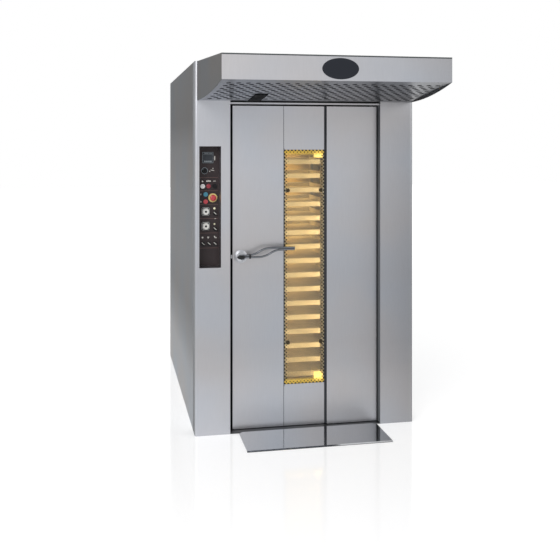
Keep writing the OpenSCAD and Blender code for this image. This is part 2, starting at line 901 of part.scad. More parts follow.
// Firing drum, smoke boxes, tubes and flue, welded into one hollow piece
module heat_exchanger() {
    color("#8c7f78") from_front() translate([0, exchanger_y, 0]) difference() {
        union() {
            for (x = [-smoke_box_x + 20, smoke_box_x - 80])
                block([x, -60, base_t], [x + 60, 60, smoke_low_z]);
            smoke_box(smoke_low_z);
            smoke_box(smoke_high_z);
            pipe(drum_x, 0, smoke_low_z + smoke_box_h, drum_r, drum_h);
            tube_places() pipe(0, 0, smoke_low_z + smoke_box_h, tube_r, drum_h);
            pipe(drum_x, 0, smoke_high_z, flue_r + tube_t, cab_h - smoke_high_z);
            rod_y(drum_x, burner_z, 0, rear_wall_y + wall_t - seat - exchanger_y, tube_r);
        }
        smoke_box(smoke_low_z, tube_t);
        smoke_box(smoke_high_z, tube_t);
        pipe(drum_x, 0, smoke_low_z + smoke_box_h, drum_r, drum_h, tube_t + 0.5);
        tube_places() pipe(0, 0, smoke_low_z + smoke_box_h, tube_r, drum_h, tube_t + 0.5);
        pipe(drum_x, 0, smoke_high_z + smoke_box_h, flue_r, cab_h - smoke_high_z - smoke_box_h,
             tube_t + 0.5);
        translate([drum_x, 0, cab_h - flue_socket]) cylinder(r = flue_r, h = flue_socket + 1);
        rod_y(drum_x, burner_z, 0, rear_wall_y + wall_t - exchanger_y + 1, tube_r - tube_t);
    }
}

module fan_motor() {
    color("steelblue") from_front() translate([fan_x, exchanger_y, ceiling_top]) difference() {
        union() {
            cylinder(r = fan_motor_r + 15, h = 12);
            cylinder(r = fan_motor_r, h = fan_motor_h);
        }
        translate([0, 0, -1]) cylinder(r = fan_shaft_r + run_fit, h = shaft_hold + 21);
    }
}

// Burner on the rear wall, in the service space
module burner() {
    y0 = rear_wall_y + wall_t;
    color("firebrick") from_front() translate([drum_x, y0, burner_z]) {
        block([-burner_half, 0, -burner_half], [burner_half, burner_len, burner_half]);
        translate([burner_half, burner_len / 2, -40]) rotate([0, 90, 0])
            cylinder(r = 55, h = 90);
    }
}

module fan_wheel() {
    blades = 12;
    color("lightslategray") from_front() translate([fan_x, exchanger_y, fan_z]) {
        cylinder(r = fan_r, h = 4);
        difference() {
            translate([0, 0, fan_h - 4]) cylinder(r = fan_r, h = 4);
            translate([0, 0, fan_h - 5]) cylinder(r = fan_r * 0.6, h = 6);
        }
        for (i = [0 : blades - 1]) rotate([0, 0, i * 360 / blades])
            translate([fan_r * 0.66, -1.5, 3]) cube([fan_r * 0.32, 3, fan_h - 6]);
        cylinder(r = fan_shaft_r, h = ceiling_top + shaft_hold - fan_z);
    }
}

// Rotating rack

// Drive shaft with its plate and the hook that holds the rack's bail
module drive_hook() {
    color("silver") from_front() translate([0, rotor_y, 0]) {
        translate([0, 0, hook_plate_z]) cylinder(r = hook_plate_r, h = hook_plate_t);
        translate([0, 0, hook_plate_z + hook_plate_t])
            cylinder(r = shaft_r, h = ceiling_top + shaft_hold - hook_plate_z - hook_plate_t);
        block([-hook_t, bail_bar / 2 + 6, bail_z - hook_t],
              [hook_t, bail_bar / 2 + 6 + hook_t, hook_plate_z]);
        block([-hook_t, -bail_bar / 2 - 10, bail_z - hook_t],
              [hook_t, bail_bar / 2 + 6, bail_z]);
        block([-hook_t, -bail_bar / 2 - 16, bail_z - hook_t],
              [hook_t, -bail_bar / 2 - 10, bail_z + 8]);
    }
}

// Runner, fork and post positions mirror to the four corners of the rack
module four_corners() {
    for (sx = [0, 1], sy = [0, 1])
        mirror([sx, 0, 0]) mirror([0, sy, 0]) children();
}

module rack_frame() {
    half = rack_w / 2;
    deep = tray_d / 2;
    color("silver") from_front() translate([0, rotor_y, 0]) {
        four_corners() {
            block([-half, -deep, rack_low_z], [-half + post_w, -deep + post_w,
                   rack_top_z + rack_bar]);
            // wheel fork and axle
            for (side = [-1, 1])
                translate([-wheel_x + side * (wheel_w / 2 + part_gap + fork_t / 2), -wheel_y, 0])
                    block([-fork_t / 2, -15, axle_z - 15], [fork_t / 2, 15, rack_low_z]);
            rod_x(-wheel_x - wheel_w / 2 - fork_t, -wheel_x + wheel_w / 2 + fork_t,
                  -wheel_y, axle_z, axle_r);
            // bail over the top
            block([-bail_w / 2, -bail_bar / 2, rack_top_z],
                  [-bail_w / 2 + bail_bar, 0.01, bail_z + bail_bar]);
        }
        block([-bail_w / 2, -bail_bar / 2, bail_z], [bail_w / 2, bail_bar / 2, bail_z + bail_bar]);
        for (z = [rack_low_z, rack_top_z]) {
            for (y = [-deep, deep - post_w])
                block([-half, y, z], [half, y + post_w, z + rack_bar]);
            for (x = [-half, half - post_w, -bail_w / 2 - 2])
                block([x, -deep, z], [x + post_w, deep, z + rack_bar]);
            block([bail_w / 2 + 2 - post_w, -deep, z], [bail_w / 2 + 2, deep, z + rack_bar]);
        }
        // plates that carry the wheel forks
        for (y = [-wheel_y, wheel_y])
            block([-half, y - 30, rack_low_z], [half, y + 30, rack_low_z + 4]);
    }
}

// Angle rails that carry the trays, a pair at each level, with a stop at the rear
module rack_runners() {
    color("silver") from_front() translate([0, rotor_y, 0])
        for (i = [0 : tray_count - 1]) both_sides() {
            z = first_tray_z + i * tray_pitch;
            deep = tray_d / 2;
            block([-runner_x - runner_t, -deep, z - runner_t], [-runner_x, deep, z + 12]);
            block([-runner_x, -deep, z - runner_t], [-runner_x + runner_w, deep, z]);
            block([-runner_x, deep - tray_stop_t, z], [-runner_x + runner_w, deep, z + 12]);
        }
}

module rack_trays() {
    color("gainsboro") from_front() translate([0, rotor_y, 0])
        for (i = [0 : tray_count - 1]) {
            z = first_tray_z + i * tray_pitch;
            difference() {
                block([-tray_w / 2, -tray_d / 2, z], [tray_w / 2, tray_rear, z + tray_rim]);
                block([-tray_w / 2 + tray_t, -tray_d / 2 + tray_t, z + tray_t],
                      [tray_w / 2 - tray_t, tray_rear - tray_t, z + tray_rim + 1]);
            }
        }
}

module rack_wheel(side_x, side_y) {
    color("#3b2f2a") from_front() translate([side_x * wheel_x, rotor_y + side_y * wheel_y, axle_z])
        rotate([0, 90, 0]) difference() {
            cylinder(r = wheel_r, h = wheel_w, center = true, $fn = 64);
            cylinder(r = axle_r + run_fit, h = wheel_w + 2, center = true);
        }
}

module front_left_wheel() { rack_wheel(-1, -1); }
module front_right_wheel() { rack_wheel(1, -1); }
module rear_left_wheel() { rack_wheel(-1, 1); }
module rear_right_wheel() { rack_wheel(1, 1); }

// Door

module door_left_panel() {
    color("silver") from_front() difference() {
        union() {
            block([door_left, face_y, door_z], [seam_left - panel_joint / 2, leaf_y, door_top]);
            block([door_left, leaf_y, door_z], [door_left + skin, leaf_back, door_top]);
        }
        rod_y(handle_x, handle_z, face_y - 1, leaf_y + 1, spindle_r + 1);
        block([door_left - 1, latch_y - latch_half - 1, handle_z - 13],
              [door_left + skin + 1, latch_y + latch_half + 1, handle_z + 13]);
    }
}

module door_middle_panel() {
    color("silver") from_front() difference() {
        block([seam_left + panel_joint / 2, face_y, door_z], [middle_right, leaf_y, door_top]);
        block([pane_x0 - seat, face_y - 1, window_z - seat],
              [pane_x1 + seat, leaf_y + 1, window_z + window_h + seat]);
    }
}

module door_right_panel() {
    color("silver") from_front() {
        block([seam_right, door_recess, door_z], [door_right, door_recess + skin, door_top]);
        block([seam_right, door_recess + skin, door_z], [seam_right + skin, leaf_y, door_top]);
        block([door_right - skin, door_recess + skin, door_z],
              [door_right, leaf_back - heel, door_top]);
    }
}

// Insulated leaf with the window's passage, the pane rebates and the hinge pins
module door_core() {
    window_top = window_z + window_h;
    color("lightsteelblue") from_front() {
        difference() {
            union() {
                block([door_left + skin, leaf_y, door_z], [hinge_x, leaf_back, door_top]);
                block([hinge_x, leaf_y, door_z], [door_right - skin, leaf_back - heel, door_top]);
                block([seam_right + skin, door_recess + skin, door_z],
                      [door_right - skin, leaf_y, door_top]);
            }
            block([pane_x0 - seat, leaf_y - 1, window_z - seat],
                  [pane_x1 + seat, pane_y, window_top + seat]);
            block([pane_x0 + rebate, leaf_y - 1, window_z + rebate],
                  [pane_x1 - rebate, leaf_back + 1, window_top - rebate]);
            block([pane_x0 + rebate - inner_pane_in - seat, leaf_back - pane_t,
                   window_z + rebate - inner_pane_in - seat],
                  [pane_x1 - rebate + inner_pane_in + seat, leaf_back + 1,
                   window_top - rebate + inner_pane_in + seat]);
            rod_y(handle_x, handle_z, leaf_y - 1, leaf_back - 10, spindle_r + run_fit);
            block([door_left, latch_y - latch_half - seat, handle_z - 12 - seat],
                  [handle_x - spindle_r - 4, latch_y + latch_half + seat, handle_z + 12 + seat]);
        }
        // lugs that hold the pane fixings
        for (z = [fixing_low_z, fixing_high_z]) {
            block([pane_x0 + rebate - 1, pane_y, z - 12],
                  [pane_x0 + fixing_in + 8, pane_y + 10, z + 12]);
            block([pane_x1 - fixing_in - 8, pane_y, z - 12],
                  [pane_x1 - rebate + 1, pane_y + 10, z + 12]);
        }
        translate([hinge_x, hinge_y, 3]) cylinder(r = hinge_pin_r, h = door_z);
        translate([hinge_x, hinge_y, door_top - 3])
            cylinder(r = hinge_pin_r, h = door_gap_top + header_plate_t);
    }
}

// Outer and inner panes of toughened glass
module window_panes() {
    color("khaki", 0.4) from_front() {
        difference() {
            block([pane_x0, face_y, window_z], [pane_x1, pane_y, window_z + window_h]);
            fixing_places() rod_y(0, 0, face_y - 1, pane_y + 1, 4 + run_fit);
        }
        block([pane_x0 + rebate - inner_pane_in, leaf_back - pane_t,
               window_z + rebate - inner_pane_in],
              [pane_x1 - rebate + inner_pane_in, leaf_back,
               window_z + window_h - rebate + inner_pane_in]);
    }
}

module fixing_places() {
    for (x = [pane_x0 + fixing_in, pane_x1 - fixing_in], z = [fixing_low_z, fixing_high_z])
        translate([x, 0, z]) children();
}

module window_fixings() {
    color("#3a352a") from_front() fixing_places() {
        rod_y(0, 0, face_y - 4, face_y, fixing_r);
        rod_y(0, 0, face_y - 1, pane_y, 4);
    }
}

module door_lamps() {
    x1 = pane_x1 - rebate;
    y0 = pane_y + 4;
    color("yellow") from_front() for (z = [window_z + rebate,
                                          window_z + window_h - rebate - lamp_size])
        block([x1 - lamp_size, y0, z], [x1, leaf_back - pane_t - 4, z + lamp_size]);
}

module handle_rosette() {
    color("white") from_front() translate([handle_x, face_y, handle_z]) rotate([90, 0, 0])
        rotate_extrude($fn = 96) polygon([
            [spindle_r + run_fit, 0], [rosette_r, 0], [rosette_r, 3],
            [rosette_r - 14, rosette_t], [spindle_r + run_fit, rosette_t]
        ]);
}

// One rod of the lever in the plane y = 0: level, an S-bend up, then level to the tip
module lever_rod(bend_x, z) {
    rod_x(0, bend_x, 0, z, rod_r);
    translate([bend_x, 0, z + bend_r]) rotate([90, 0, 0]) rotate([0, 0, -90])
        rotate_extrude(angle = bend_a, $fn = 96) translate([bend_r, 0]) circle(r = rod_r, $fn = 24);
    translate([bend_x + rod_run / 2, 0, z + rod_rise / 2]) sphere(r = rod_r + bend_bead);
    translate([bend_x + rod_run, 0, z + rod_rise - bend_r]) rotate([90, 0, 0])
        rotate([0, 0, 90]) rotate_extrude(angle = bend_a, $fn = 96)
            translate([bend_r, 0]) circle(r = rod_r, $fn = 24);
    rod_x(bend_x + rod_run, lever_len, 0, z + rod_rise, rod_r);
}

module lever_handle() {
    color("white") from_front() translate([handle_x, lever_y, handle_z]) {
        lever_rod(upper_bend_x, rod_low + rod_step);
        lever_rod(upper_bend_x + bend_lag, rod_low);
        rod_y(0, 0, -rod_r - 4, lever_out - rosette_t - part_gap, hub_r);
        rod_y(0, 0, 0, lever_out + skin + leaf_t - 12, spindle_r);
    }
}

// Roller catch in the door's left edge
module latch_roller() {
    tip_x = -opening_w / 2 + strike_t + latch_tip;
    color("silver") from_front() {
        block([tip_x + latch_half, latch_y - latch_half + part_gap, handle_z - 12 + part_gap],
              [handle_x - spindle_r - 4 - latch_travel - 1, latch_y + latch_half - part_gap,
               handle_z + 12 - part_gap]);
        translate([tip_x + latch_half, latch_y, handle_z - 9])
            cylinder(r = latch_half, h = 18);
    }
}

base_frame();
left_pillar();
right_pillar();
door_frame();
door_header();
outer_panels();
roof_panel();
chamber_walls();
chamber_ceiling();
air_duct_panels();
door_seal();
ramp_plate();
hood_fascia();
hood_end_panels();
hood_top_panel();
hood_grille();
hood_badge();
hood_lamp();
control_box();
control_panel();
controller_display();
timer_bezels();
pilot_lamps();
emergency_disc();
gear_motor();
heat_exchanger();
fan_motor();
burner();
fan_wheel();
thermostat_knob();
upper_timer_dial();
lower_timer_dial();
upper_selector();
lower_selector();
left_selector();
middle_selector();
right_selector();
white_button();
black_button();
blue_button();
red_button();
emergency_button();
drive_hook();
rack_frame();
rack_runners();
rack_trays();
front_left_wheel();
front_right_wheel();
rear_left_wheel();
rear_right_wheel();
door_left_panel();
door_middle_panel();
door_right_panel();
door_core();
window_panes();
window_fixings();
door_lamps();
handle_rosette();
lever_handle();
latch_roller();
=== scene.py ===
"""Looks of the rotating rack oven: finishes for its sheets and its detailed small pieces."""
import json
import math

import bmesh
import bpy
from mathutils import Matrix, Vector
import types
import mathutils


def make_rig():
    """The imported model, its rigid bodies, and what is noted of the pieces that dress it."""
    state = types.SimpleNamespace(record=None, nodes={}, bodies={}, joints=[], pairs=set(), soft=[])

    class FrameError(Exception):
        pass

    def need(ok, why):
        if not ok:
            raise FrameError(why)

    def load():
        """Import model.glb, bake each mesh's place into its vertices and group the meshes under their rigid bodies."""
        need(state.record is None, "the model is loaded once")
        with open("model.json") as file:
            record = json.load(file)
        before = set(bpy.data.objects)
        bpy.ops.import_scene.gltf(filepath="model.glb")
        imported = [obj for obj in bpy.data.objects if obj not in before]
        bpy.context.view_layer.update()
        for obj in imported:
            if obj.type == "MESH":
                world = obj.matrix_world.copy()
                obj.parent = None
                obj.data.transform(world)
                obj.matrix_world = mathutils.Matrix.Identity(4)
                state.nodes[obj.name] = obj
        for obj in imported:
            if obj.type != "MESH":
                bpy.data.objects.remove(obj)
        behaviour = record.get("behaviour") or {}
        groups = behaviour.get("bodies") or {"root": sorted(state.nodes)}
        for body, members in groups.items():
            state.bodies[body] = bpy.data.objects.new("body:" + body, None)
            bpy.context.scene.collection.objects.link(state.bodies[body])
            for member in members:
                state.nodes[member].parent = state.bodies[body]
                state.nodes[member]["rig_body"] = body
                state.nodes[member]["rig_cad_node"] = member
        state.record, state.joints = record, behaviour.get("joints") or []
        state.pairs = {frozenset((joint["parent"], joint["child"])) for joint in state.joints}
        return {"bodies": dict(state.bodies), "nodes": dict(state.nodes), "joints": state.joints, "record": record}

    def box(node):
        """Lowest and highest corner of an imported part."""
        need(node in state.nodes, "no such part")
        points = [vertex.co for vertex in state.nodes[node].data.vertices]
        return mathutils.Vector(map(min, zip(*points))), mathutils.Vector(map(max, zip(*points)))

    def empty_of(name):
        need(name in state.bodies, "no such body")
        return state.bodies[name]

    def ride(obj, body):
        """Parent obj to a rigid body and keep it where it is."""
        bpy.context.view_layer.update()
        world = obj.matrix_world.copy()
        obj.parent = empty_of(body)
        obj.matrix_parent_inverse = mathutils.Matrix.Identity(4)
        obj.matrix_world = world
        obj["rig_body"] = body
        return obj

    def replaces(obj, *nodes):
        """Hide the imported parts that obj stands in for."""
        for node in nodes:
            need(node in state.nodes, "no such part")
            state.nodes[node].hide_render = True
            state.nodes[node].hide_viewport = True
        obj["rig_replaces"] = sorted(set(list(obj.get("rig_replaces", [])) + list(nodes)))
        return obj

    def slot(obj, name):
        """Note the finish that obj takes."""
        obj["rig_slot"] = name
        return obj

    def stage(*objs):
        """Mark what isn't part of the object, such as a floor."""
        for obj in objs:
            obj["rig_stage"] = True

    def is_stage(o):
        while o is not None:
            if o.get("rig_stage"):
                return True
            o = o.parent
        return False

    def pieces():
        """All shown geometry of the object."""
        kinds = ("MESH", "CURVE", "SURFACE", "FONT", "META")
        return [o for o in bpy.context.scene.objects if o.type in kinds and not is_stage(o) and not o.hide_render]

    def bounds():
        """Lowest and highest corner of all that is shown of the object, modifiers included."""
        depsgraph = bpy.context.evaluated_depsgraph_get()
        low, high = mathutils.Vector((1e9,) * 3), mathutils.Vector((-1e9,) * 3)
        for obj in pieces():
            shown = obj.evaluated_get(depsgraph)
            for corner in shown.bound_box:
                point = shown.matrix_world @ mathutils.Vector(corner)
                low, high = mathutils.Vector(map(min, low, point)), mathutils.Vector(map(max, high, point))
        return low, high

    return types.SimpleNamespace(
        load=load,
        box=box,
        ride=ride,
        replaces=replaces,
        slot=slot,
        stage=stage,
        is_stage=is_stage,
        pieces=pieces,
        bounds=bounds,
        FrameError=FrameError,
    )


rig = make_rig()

bl_info = {
    "name": "Rotating rack oven",
    "version": (1, 0, 0),
    "blender": (4, 5, 0),
    "location": "View3D > Sidebar > Oven",
    "description": "Dresses the packed oven with its finishes, fittings and studio",
    "category": "Object",
}

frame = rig.load()
CAD_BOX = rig.bounds()

MM = 0.001
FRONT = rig.box("left_pillar")[0].y    # plane of the cabinet's front face


def at(x, depth, height):
    """A point from millimetres: right of the middle, behind the front face, above the floor."""
    return Vector((x * MM, FRONT + depth * MM, height * MM))


# ---------------------------------------------------------------- values

def linear(code):
    """An sRGB hex colour as linear red, green, blue and alpha."""
    channels = [int(code[i:i + 2], 16) / 255 for i in (1, 3, 5)]
    return tuple(c / 12.92 if c <= 0.04045 else ((c + 0.055) / 1.055) ** 2.4
                 for c in channels) + (1.0,)


def colour(name, description, code):
    """A colour property that starts from an sRGB hex value."""
    return bpy.props.FloatVectorProperty(name=name, description=description, subtype="COLOR",
                                         size=4, min=0, max=1, default=linear(code))


def length(name, description, value):
    """A length property in metres, written in millimetres."""
    return bpy.props.FloatProperty(name=name, description=description, default=value * MM,
                                   min=0, unit="LENGTH", subtype="DISTANCE")


class OvenSizes(bpy.types.PropertyGroup):
    """Sizes of the fittings that the frame leaves to the looks"""
    pane_edge: length("Pane edge", "Ground edge of the window's panes", 1.5)
    dot_pitch: length("Dot pitch", "Distance of the printed dots round the window", 17.0)
    dot_border: length("Dot border", "Width of the printed border at the sides", 34.0)
    dot_border_end: length("Dot end border", "Width of the printed border at the ends", 38.0)
    brush_line: length("Brush line", "Width of one brushed line in the steel", 1.6)
    tray_edge: length("Tray edge", "Radius of a baking tray's rolled rim", 3.0)


class OvenColours(bpy.types.PropertyGroup):
    """Colours of the finishes"""
    satin: colour("Satin steel", "Front sheets", "#BEBFC4")
    side: colour("Side steel", "Side, roof and back sheets", "#E1E2E4")
    bright: colour("Bright steel", "Perforated sheet and ducts", "#85888C")
    ramp: colour("Ramp", "Ramp in front of the door", "#D9DADC")
    panel: colour("Control panel", "Printed face behind the controls", "#3D3536")
    badge: colour("Badge", "Oval plate on the hood", "#24272E")
    glass: colour("Window glass", "Tint of the outer pane", "#FCEFCE")
    tray: colour("Trays", "Baking trays with their baked-on film", "#E6E0CF")
    handle: colour("Handle", "Polished lever", "#73767B")
    red: colour("Signal red", "Stop button and red button", "#C63440")
    yellow: colour("Signal yellow", "Disc behind the stop button", "#F0D68C")
    blue: colour("Button blue", "Blue push button", "#348AA2")


def sizes():
    """The sizes in use."""
    return bpy.context.scene.oven_sizes


def colours():
    """The colours in use."""
    return bpy.context.scene.oven_colours


# ---------------------------------------------------------------- materials

def put(tree, kind, links=None, **settings):
    """Adds one node; settings are its attributes or its input sockets, links feed sockets."""
    node = tree.nodes.new(kind)
    for key, value in settings.items():
        if key.startswith("in_"):
            name = key[3:].replace("_", " ")
            index = int(name) if name.isdigit() else name
            node.inputs[index].default_value = value
        else:
            setattr(node, key, value)
    for key, source in (links or {}).items():
        index = int(key) if str(key).isdigit() else key
        tree.links.new(source, node.inputs[index])
    return node


def new_material(name):
    """An empty node material and its tree."""
    made = bpy.data.materials.new(name)
    made.use_nodes = True
    made.node_tree.nodes.clear()
    return made, made.node_tree


def close(tree, shader):
    """Gives the material its surface."""
    put(tree, "ShaderNodeOutputMaterial", {"Surface": shader})


def within(tree, axes, spans):
    """1 where the point lies inside every span of metres along X, Y and Z, and 0 elsewhere."""
    mask = None
    for axis, (low, high) in spans.items():
        for operation, limit in (("GREATER_THAN", low), ("LESS_THAN", high)):
            if limit is None:
                continue
            test = put(tree, "ShaderNodeMath", {"0": axes.outputs[axis]}, in_1=limit,
                       operation=operation)
            mask = test if mask is None else put(
                tree, "ShaderNodeMath", {"0": mask.outputs[0], "1": test.outputs[0]},
                operation="MULTIPLY")
    return mask


def toned(tree, shade, axes, axis, low, high, points):
    """A colour that drifts along one axis; points are (place in metres, factor)."""
    place = put(tree, "ShaderNodeMapRange", {"Value": axes.outputs[axis]}, in_1=low, in_2=high)
    ramp = put(tree, "ShaderNodeValToRGB", {"Fac": place.outputs[0]})
    marks = ramp.color_ramp.elements
    while len(marks) < len(points):
        marks.new(0.5)
    # all marks are placed before any is coloured, so that their order is settled
    for mark, (where, factor) in zip(marks, points):
        mark.position = (where - low) / (high - low)
    for mark, (where, factor) in zip(marks, points):
        mark.color = (factor, factor, factor, 1)
    return put(tree, "ShaderNodeVectorMath", {"0": shade.outputs[0], "1": ramp.outputs[0]},
               operation="MULTIPLY")


# Painted shade of soft broad reflections on the front sheets: palest at the top and foot, darker in between
UP = ((0.0, 1.0), (0.15, 0.94), (0.3, 0.86), (0.42, 0.77), (0.55, 0.72), (1.0, 0.72),
      (1.3, 0.79), (1.7, 0.875), (1.95, 0.885), (2.05, 0.93), (2.12, 1.0), (2.16, 1.0),
      (2.2, 0.925), (2.4, 0.925))
# Painted shade across the front sheets: darker towards the right
ACROSS = ((-0.7, 1.0), (0.0, 0.94), (0.33, 0.85), (0.5, 0.75), (0.7, 0.62))
# The side sheets stand in the shade of the room and lighten towards the pale floor
SIDE_UP = ((0.1, 1.0), (0.32, 0.97), (0.51, 0.76), (0.75, 0.61), (1.1, 0.64), (1.5, 0.62),
           (1.82, 0.58), (2.02, 0.45), (2.4, 0.47))


def drift(tree, noise, first, second, start):
    """A colour that goes softly from `first` to `second` as a noise rises past `start`."""
    ramp = put(tree, "ShaderNodeValToRGB", {"Fac": noise.outputs["Fac"]})
    for mark, place, tone in zip(ramp.color_ramp.elements, (start, 1 - start), (first, second)):
        mark.position = place
        mark.color = tone
    return ramp


def scaled(tone, *factors):
    """A colour whose red, green and blue are multiplied, with alpha 1."""
    return [min(1, c * k) for c, k in zip(tone, factors)] + [1]


def brushed_steel(name, tone, rough, stretch=(1, 1, 0.02), tint=0.03, strength=0.12,
                  up=None, across=None, dark=(), dark_tone="#0C0D0E", behind=None,
                  holes=None, rim=1.0):
    """Stainless sheet ground with a belt along the long stroke of `stretch`: fine parallel
    lines spread each highlight across them, and the rolled sheet is never quite flat, so broad
    soft patches drift from cool to warm. The lines are drawn wider than the real 0.1 mm.
    `up` and `across` are painted shade along Z and X, and `rim` is how much it mirrors at a slant.
    Inside each of the `dark` boxes, past the plane `behind`, given as a normal and its
    distance, and where `holes` says so, the sheet takes the flat `dark_tone`: mostly painted shade in gaps, recesses
    and holes, and elsewhere a plain tone of the sheet."""
    made, tree = new_material(name)
    where = put(tree, "ShaderNodeTexCoord").outputs["Object"]
    axes = put(tree, "ShaderNodeSeparateXYZ", {"0": where})
    lines_map = put(tree, "ShaderNodeMapping", {"Vector": where},
                    in_Scale=[s / sizes().brush_line for s in stretch])
    lines = put(tree, "ShaderNodeTexNoise", {"Vector": lines_map.outputs[0]},
                in_Scale=1.0, in_Detail=3.0, in_Roughness=0.6)
    patches = put(tree, "ShaderNodeTexNoise", {"Vector": where},
                  in_Scale=1.6, in_Detail=2.0, in_Roughness=0.5)
    cool = scaled(tone, 1 - tint, 1.0, 1 + tint)
    warm = scaled(tone, 1 + tint, 1.0, 1 - tint)
    shade = drift(tree, patches, cool, warm, 0.35)
    line_shade = put(tree, "ShaderNodeMapRange", {"Value": lines.outputs["Fac"]},
                     in_1=0.3, in_2=0.7, in_3=0.965, in_4=1.035)
    mixed = put(tree, "ShaderNodeVectorMath",
                {"0": shade.outputs[0], "1": line_shade.outputs[0]}, operation="MULTIPLY")
    if up:
        mixed = toned(tree, mixed, axes, "Z", 0.0, 2.4, up)
    if across:
        mixed = toned(tree, mixed, axes, "X", -0.7, 0.7, across)
    gloss = put(tree, "ShaderNodeMapRange", {"Value": lines.outputs["Fac"]},
                in_1=0.3, in_2=0.7, in_3=rough - 0.04, in_4=rough + 0.05)
    bump = put(tree, "ShaderNodeBump", {"Height": lines.outputs["Fac"]},
               in_Strength=strength, in_Distance=0.0002)
    steel = put(tree, "ShaderNodeBsdfPrincipled",
                {"Base Color": mixed.outputs[0], "Roughness": gloss.outputs[0],
                 "Normal": bump.outputs[0]}, in_Metallic=1.0,
                in_Specular_Tint=(rim, rim, rim, 1))
    masks = [within(tree, axes, spans) for spans in dark]
    if holes:
        masks.append(holes(tree, axes))
    if behind:
        normal, distance = behind
        height = put(tree, "ShaderNodeVectorMath", {"0": where}, in_1=normal,
                     operation="DOT_PRODUCT")
        masks.append(put(tree, "ShaderNodeMath", {"0": height.outputs["Value"]}, in_1=distance,
                         operation="GREATER_THAN"))
    # each mask lays the flat dark tone over the steel: painted shade in most finishes, and a plain tone of the sheet
    # in others
    for mask in masks:
        sealant = put(tree, "ShaderNodeBsdfPrincipled", in_Base_Color=linear(dark_tone),
                      in_Roughness=0.6)
        steel = put(tree, "ShaderNodeMixShader",
                    {"0": mask.outputs[0], "1": steel.outputs[0], "2": sealant.outputs[0]})
    close(tree, steel.outputs[0])
    return made


# Front and rear edge of the underside of the hood's perforated sheet
SHEET_FRONT, SHEET_REAR = at(0, -814, 2224), at(0, 0, 2148)


def grille_plane():
    """Normal and distance of a plane just above the underside of the hood's sloping sheet."""
    run = SHEET_REAR - SHEET_FRONT
    normal = Vector((0, -run.z, run.y)).normalized()
    return tuple(normal), normal.dot(SHEET_FRONT) + 0.2 * MM


def hole_rims(tree, axes):
    """1 on a painted shade round each hole in the hood's sheet, an oval that reaches past the
    hole, and 0 elsewhere. Every second row is shifted by half a hole."""
    pitch, two_rows, first_row, shift = 56 * MM, 102 * MM, 121 * MM, 8 * MM
    rim_wide, rim_long = 15 * MM, 20 * MM
    slant = 1.0044      # length along the slope for each metre of depth
    widening = 0.0898   # the sheet and its pattern widen by this share for each metre
    holed = {"X": (-0.6205, 0.637), "Y": (0.0955, 0.7585)}
    along = put(tree, "ShaderNodeMath", {"0": axes.outputs["Y"]}, in_1=slant,
                in_2=-SHEET_FRONT.y * slant, operation="MULTIPLY_ADD")
    spread = put(tree, "ShaderNodeMath", {"0": along.outputs[0]}, in_1=widening, in_2=1.0,
                 operation="MULTIPLY_ADD")
    across = put(tree, "ShaderNodeMath", {"0": axes.outputs["X"], "1": spread.outputs[0]},
                 operation="DIVIDE")
    flat = put(tree, "ShaderNodeCombineXYZ", {"0": across.outputs[0], "1": along.outputs[0]})
    cells = put(tree, "ShaderNodeVectorMath", {"0": flat.outputs[0]},
                in_1=(1 / pitch, 1 / two_rows, 0),
                in_2=(-shift / pitch, -first_row / two_rows, 0), operation="MULTIPLY_ADD")
    rims = []
    for start in (0.5, 0.0):
        moved = put(tree, "ShaderNodeVectorMath", {"0": cells.outputs[0]},
                    in_1=(start, start, 0), operation="ADD")
        part = put(tree, "ShaderNodeVectorMath", {"0": moved.outputs[0]}, operation="FRACTION")
        centred = put(tree, "ShaderNodeVectorMath", {"0": part.outputs[0]},
                      in_1=(0.5, 0.5, 0), operation="SUBTRACT")
        rounded = put(tree, "ShaderNodeVectorMath", {"0": centred.outputs[0]},
                      in_1=(pitch / rim_wide, two_rows / rim_long, 0), operation="MULTIPLY")
        far = put(tree, "ShaderNodeVectorMath", {"0": rounded.outputs[0]}, operation="LENGTH")
        rims.append(put(tree, "ShaderNodeMath", {"0": far.outputs["Value"]}, in_1=1.0,
                        operation="LESS_THAN"))
    either = put(tree, "ShaderNodeMath", {"0": rims[0].outputs[0], "1": rims[1].outputs[0]},
                 operation="MAXIMUM")
    field = within(tree, put(tree, "ShaderNodeSeparateXYZ", {"0": flat.outputs[0]}), holed)
    return put(tree, "ShaderNodeMath", {"0": either.outputs[0], "1": field.outputs[0]},
               operation="MULTIPLY")


def front_steel(name, dark=(), dark_tone="#0C0D0E"):
    """A front sheet, ground upright, pale, with painted shade of soft broad reflections."""
    return brushed_steel(name, colours().satin, 0.34, up=UP, across=ACROSS, dark=dark,
                         dark_tone=dark_tone)


def grained(name, tone, rough, grain_mm, depth_mm, metal=0.0, coat=0.0, spread=0.06, shine=0.5):
    """A cast, moulded or coated surface: a fine skin texture of `grain_mm` with a slight
    drift of its colour, under an optional clear gloss coat."""
    made, tree = new_material(name)
    where = put(tree, "ShaderNodeTexCoord").outputs["Object"]
    grain = put(tree, "ShaderNodeTexNoise", {"Vector": where},
                in_Scale=1000.0 / grain_mm, in_Detail=2.0)
    patches = put(tree, "ShaderNodeTexNoise", {"Vector": where}, in_Scale=9.0, in_Detail=3.0)
    shade = drift(tree, patches, scaled(tone, *[1 - spread] * 3),
                  scaled(tone, *[1 + spread] * 3), 0.3)
    gloss = put(tree, "ShaderNodeMapRange", {"Value": grain.outputs["Fac"]},
                in_1=0.3, in_2=0.7, in_3=max(0.02, rough - 0.05), in_4=rough + 0.05)
    bump = put(tree, "ShaderNodeBump", {"Height": grain.outputs["Fac"]},
               in_Strength=0.35, in_Distance=depth_mm * MM)
    skin = put(tree, "ShaderNodeBsdfPrincipled",
               {"Base Color": shade.outputs[0], "Roughness": gloss.outputs[0],
                "Normal": bump.outputs[0]}, in_Metallic=metal, in_Coat_Weight=coat,
               in_Specular_IOR_Level=shine)
    close(tree, skin.outputs[0])
    return made


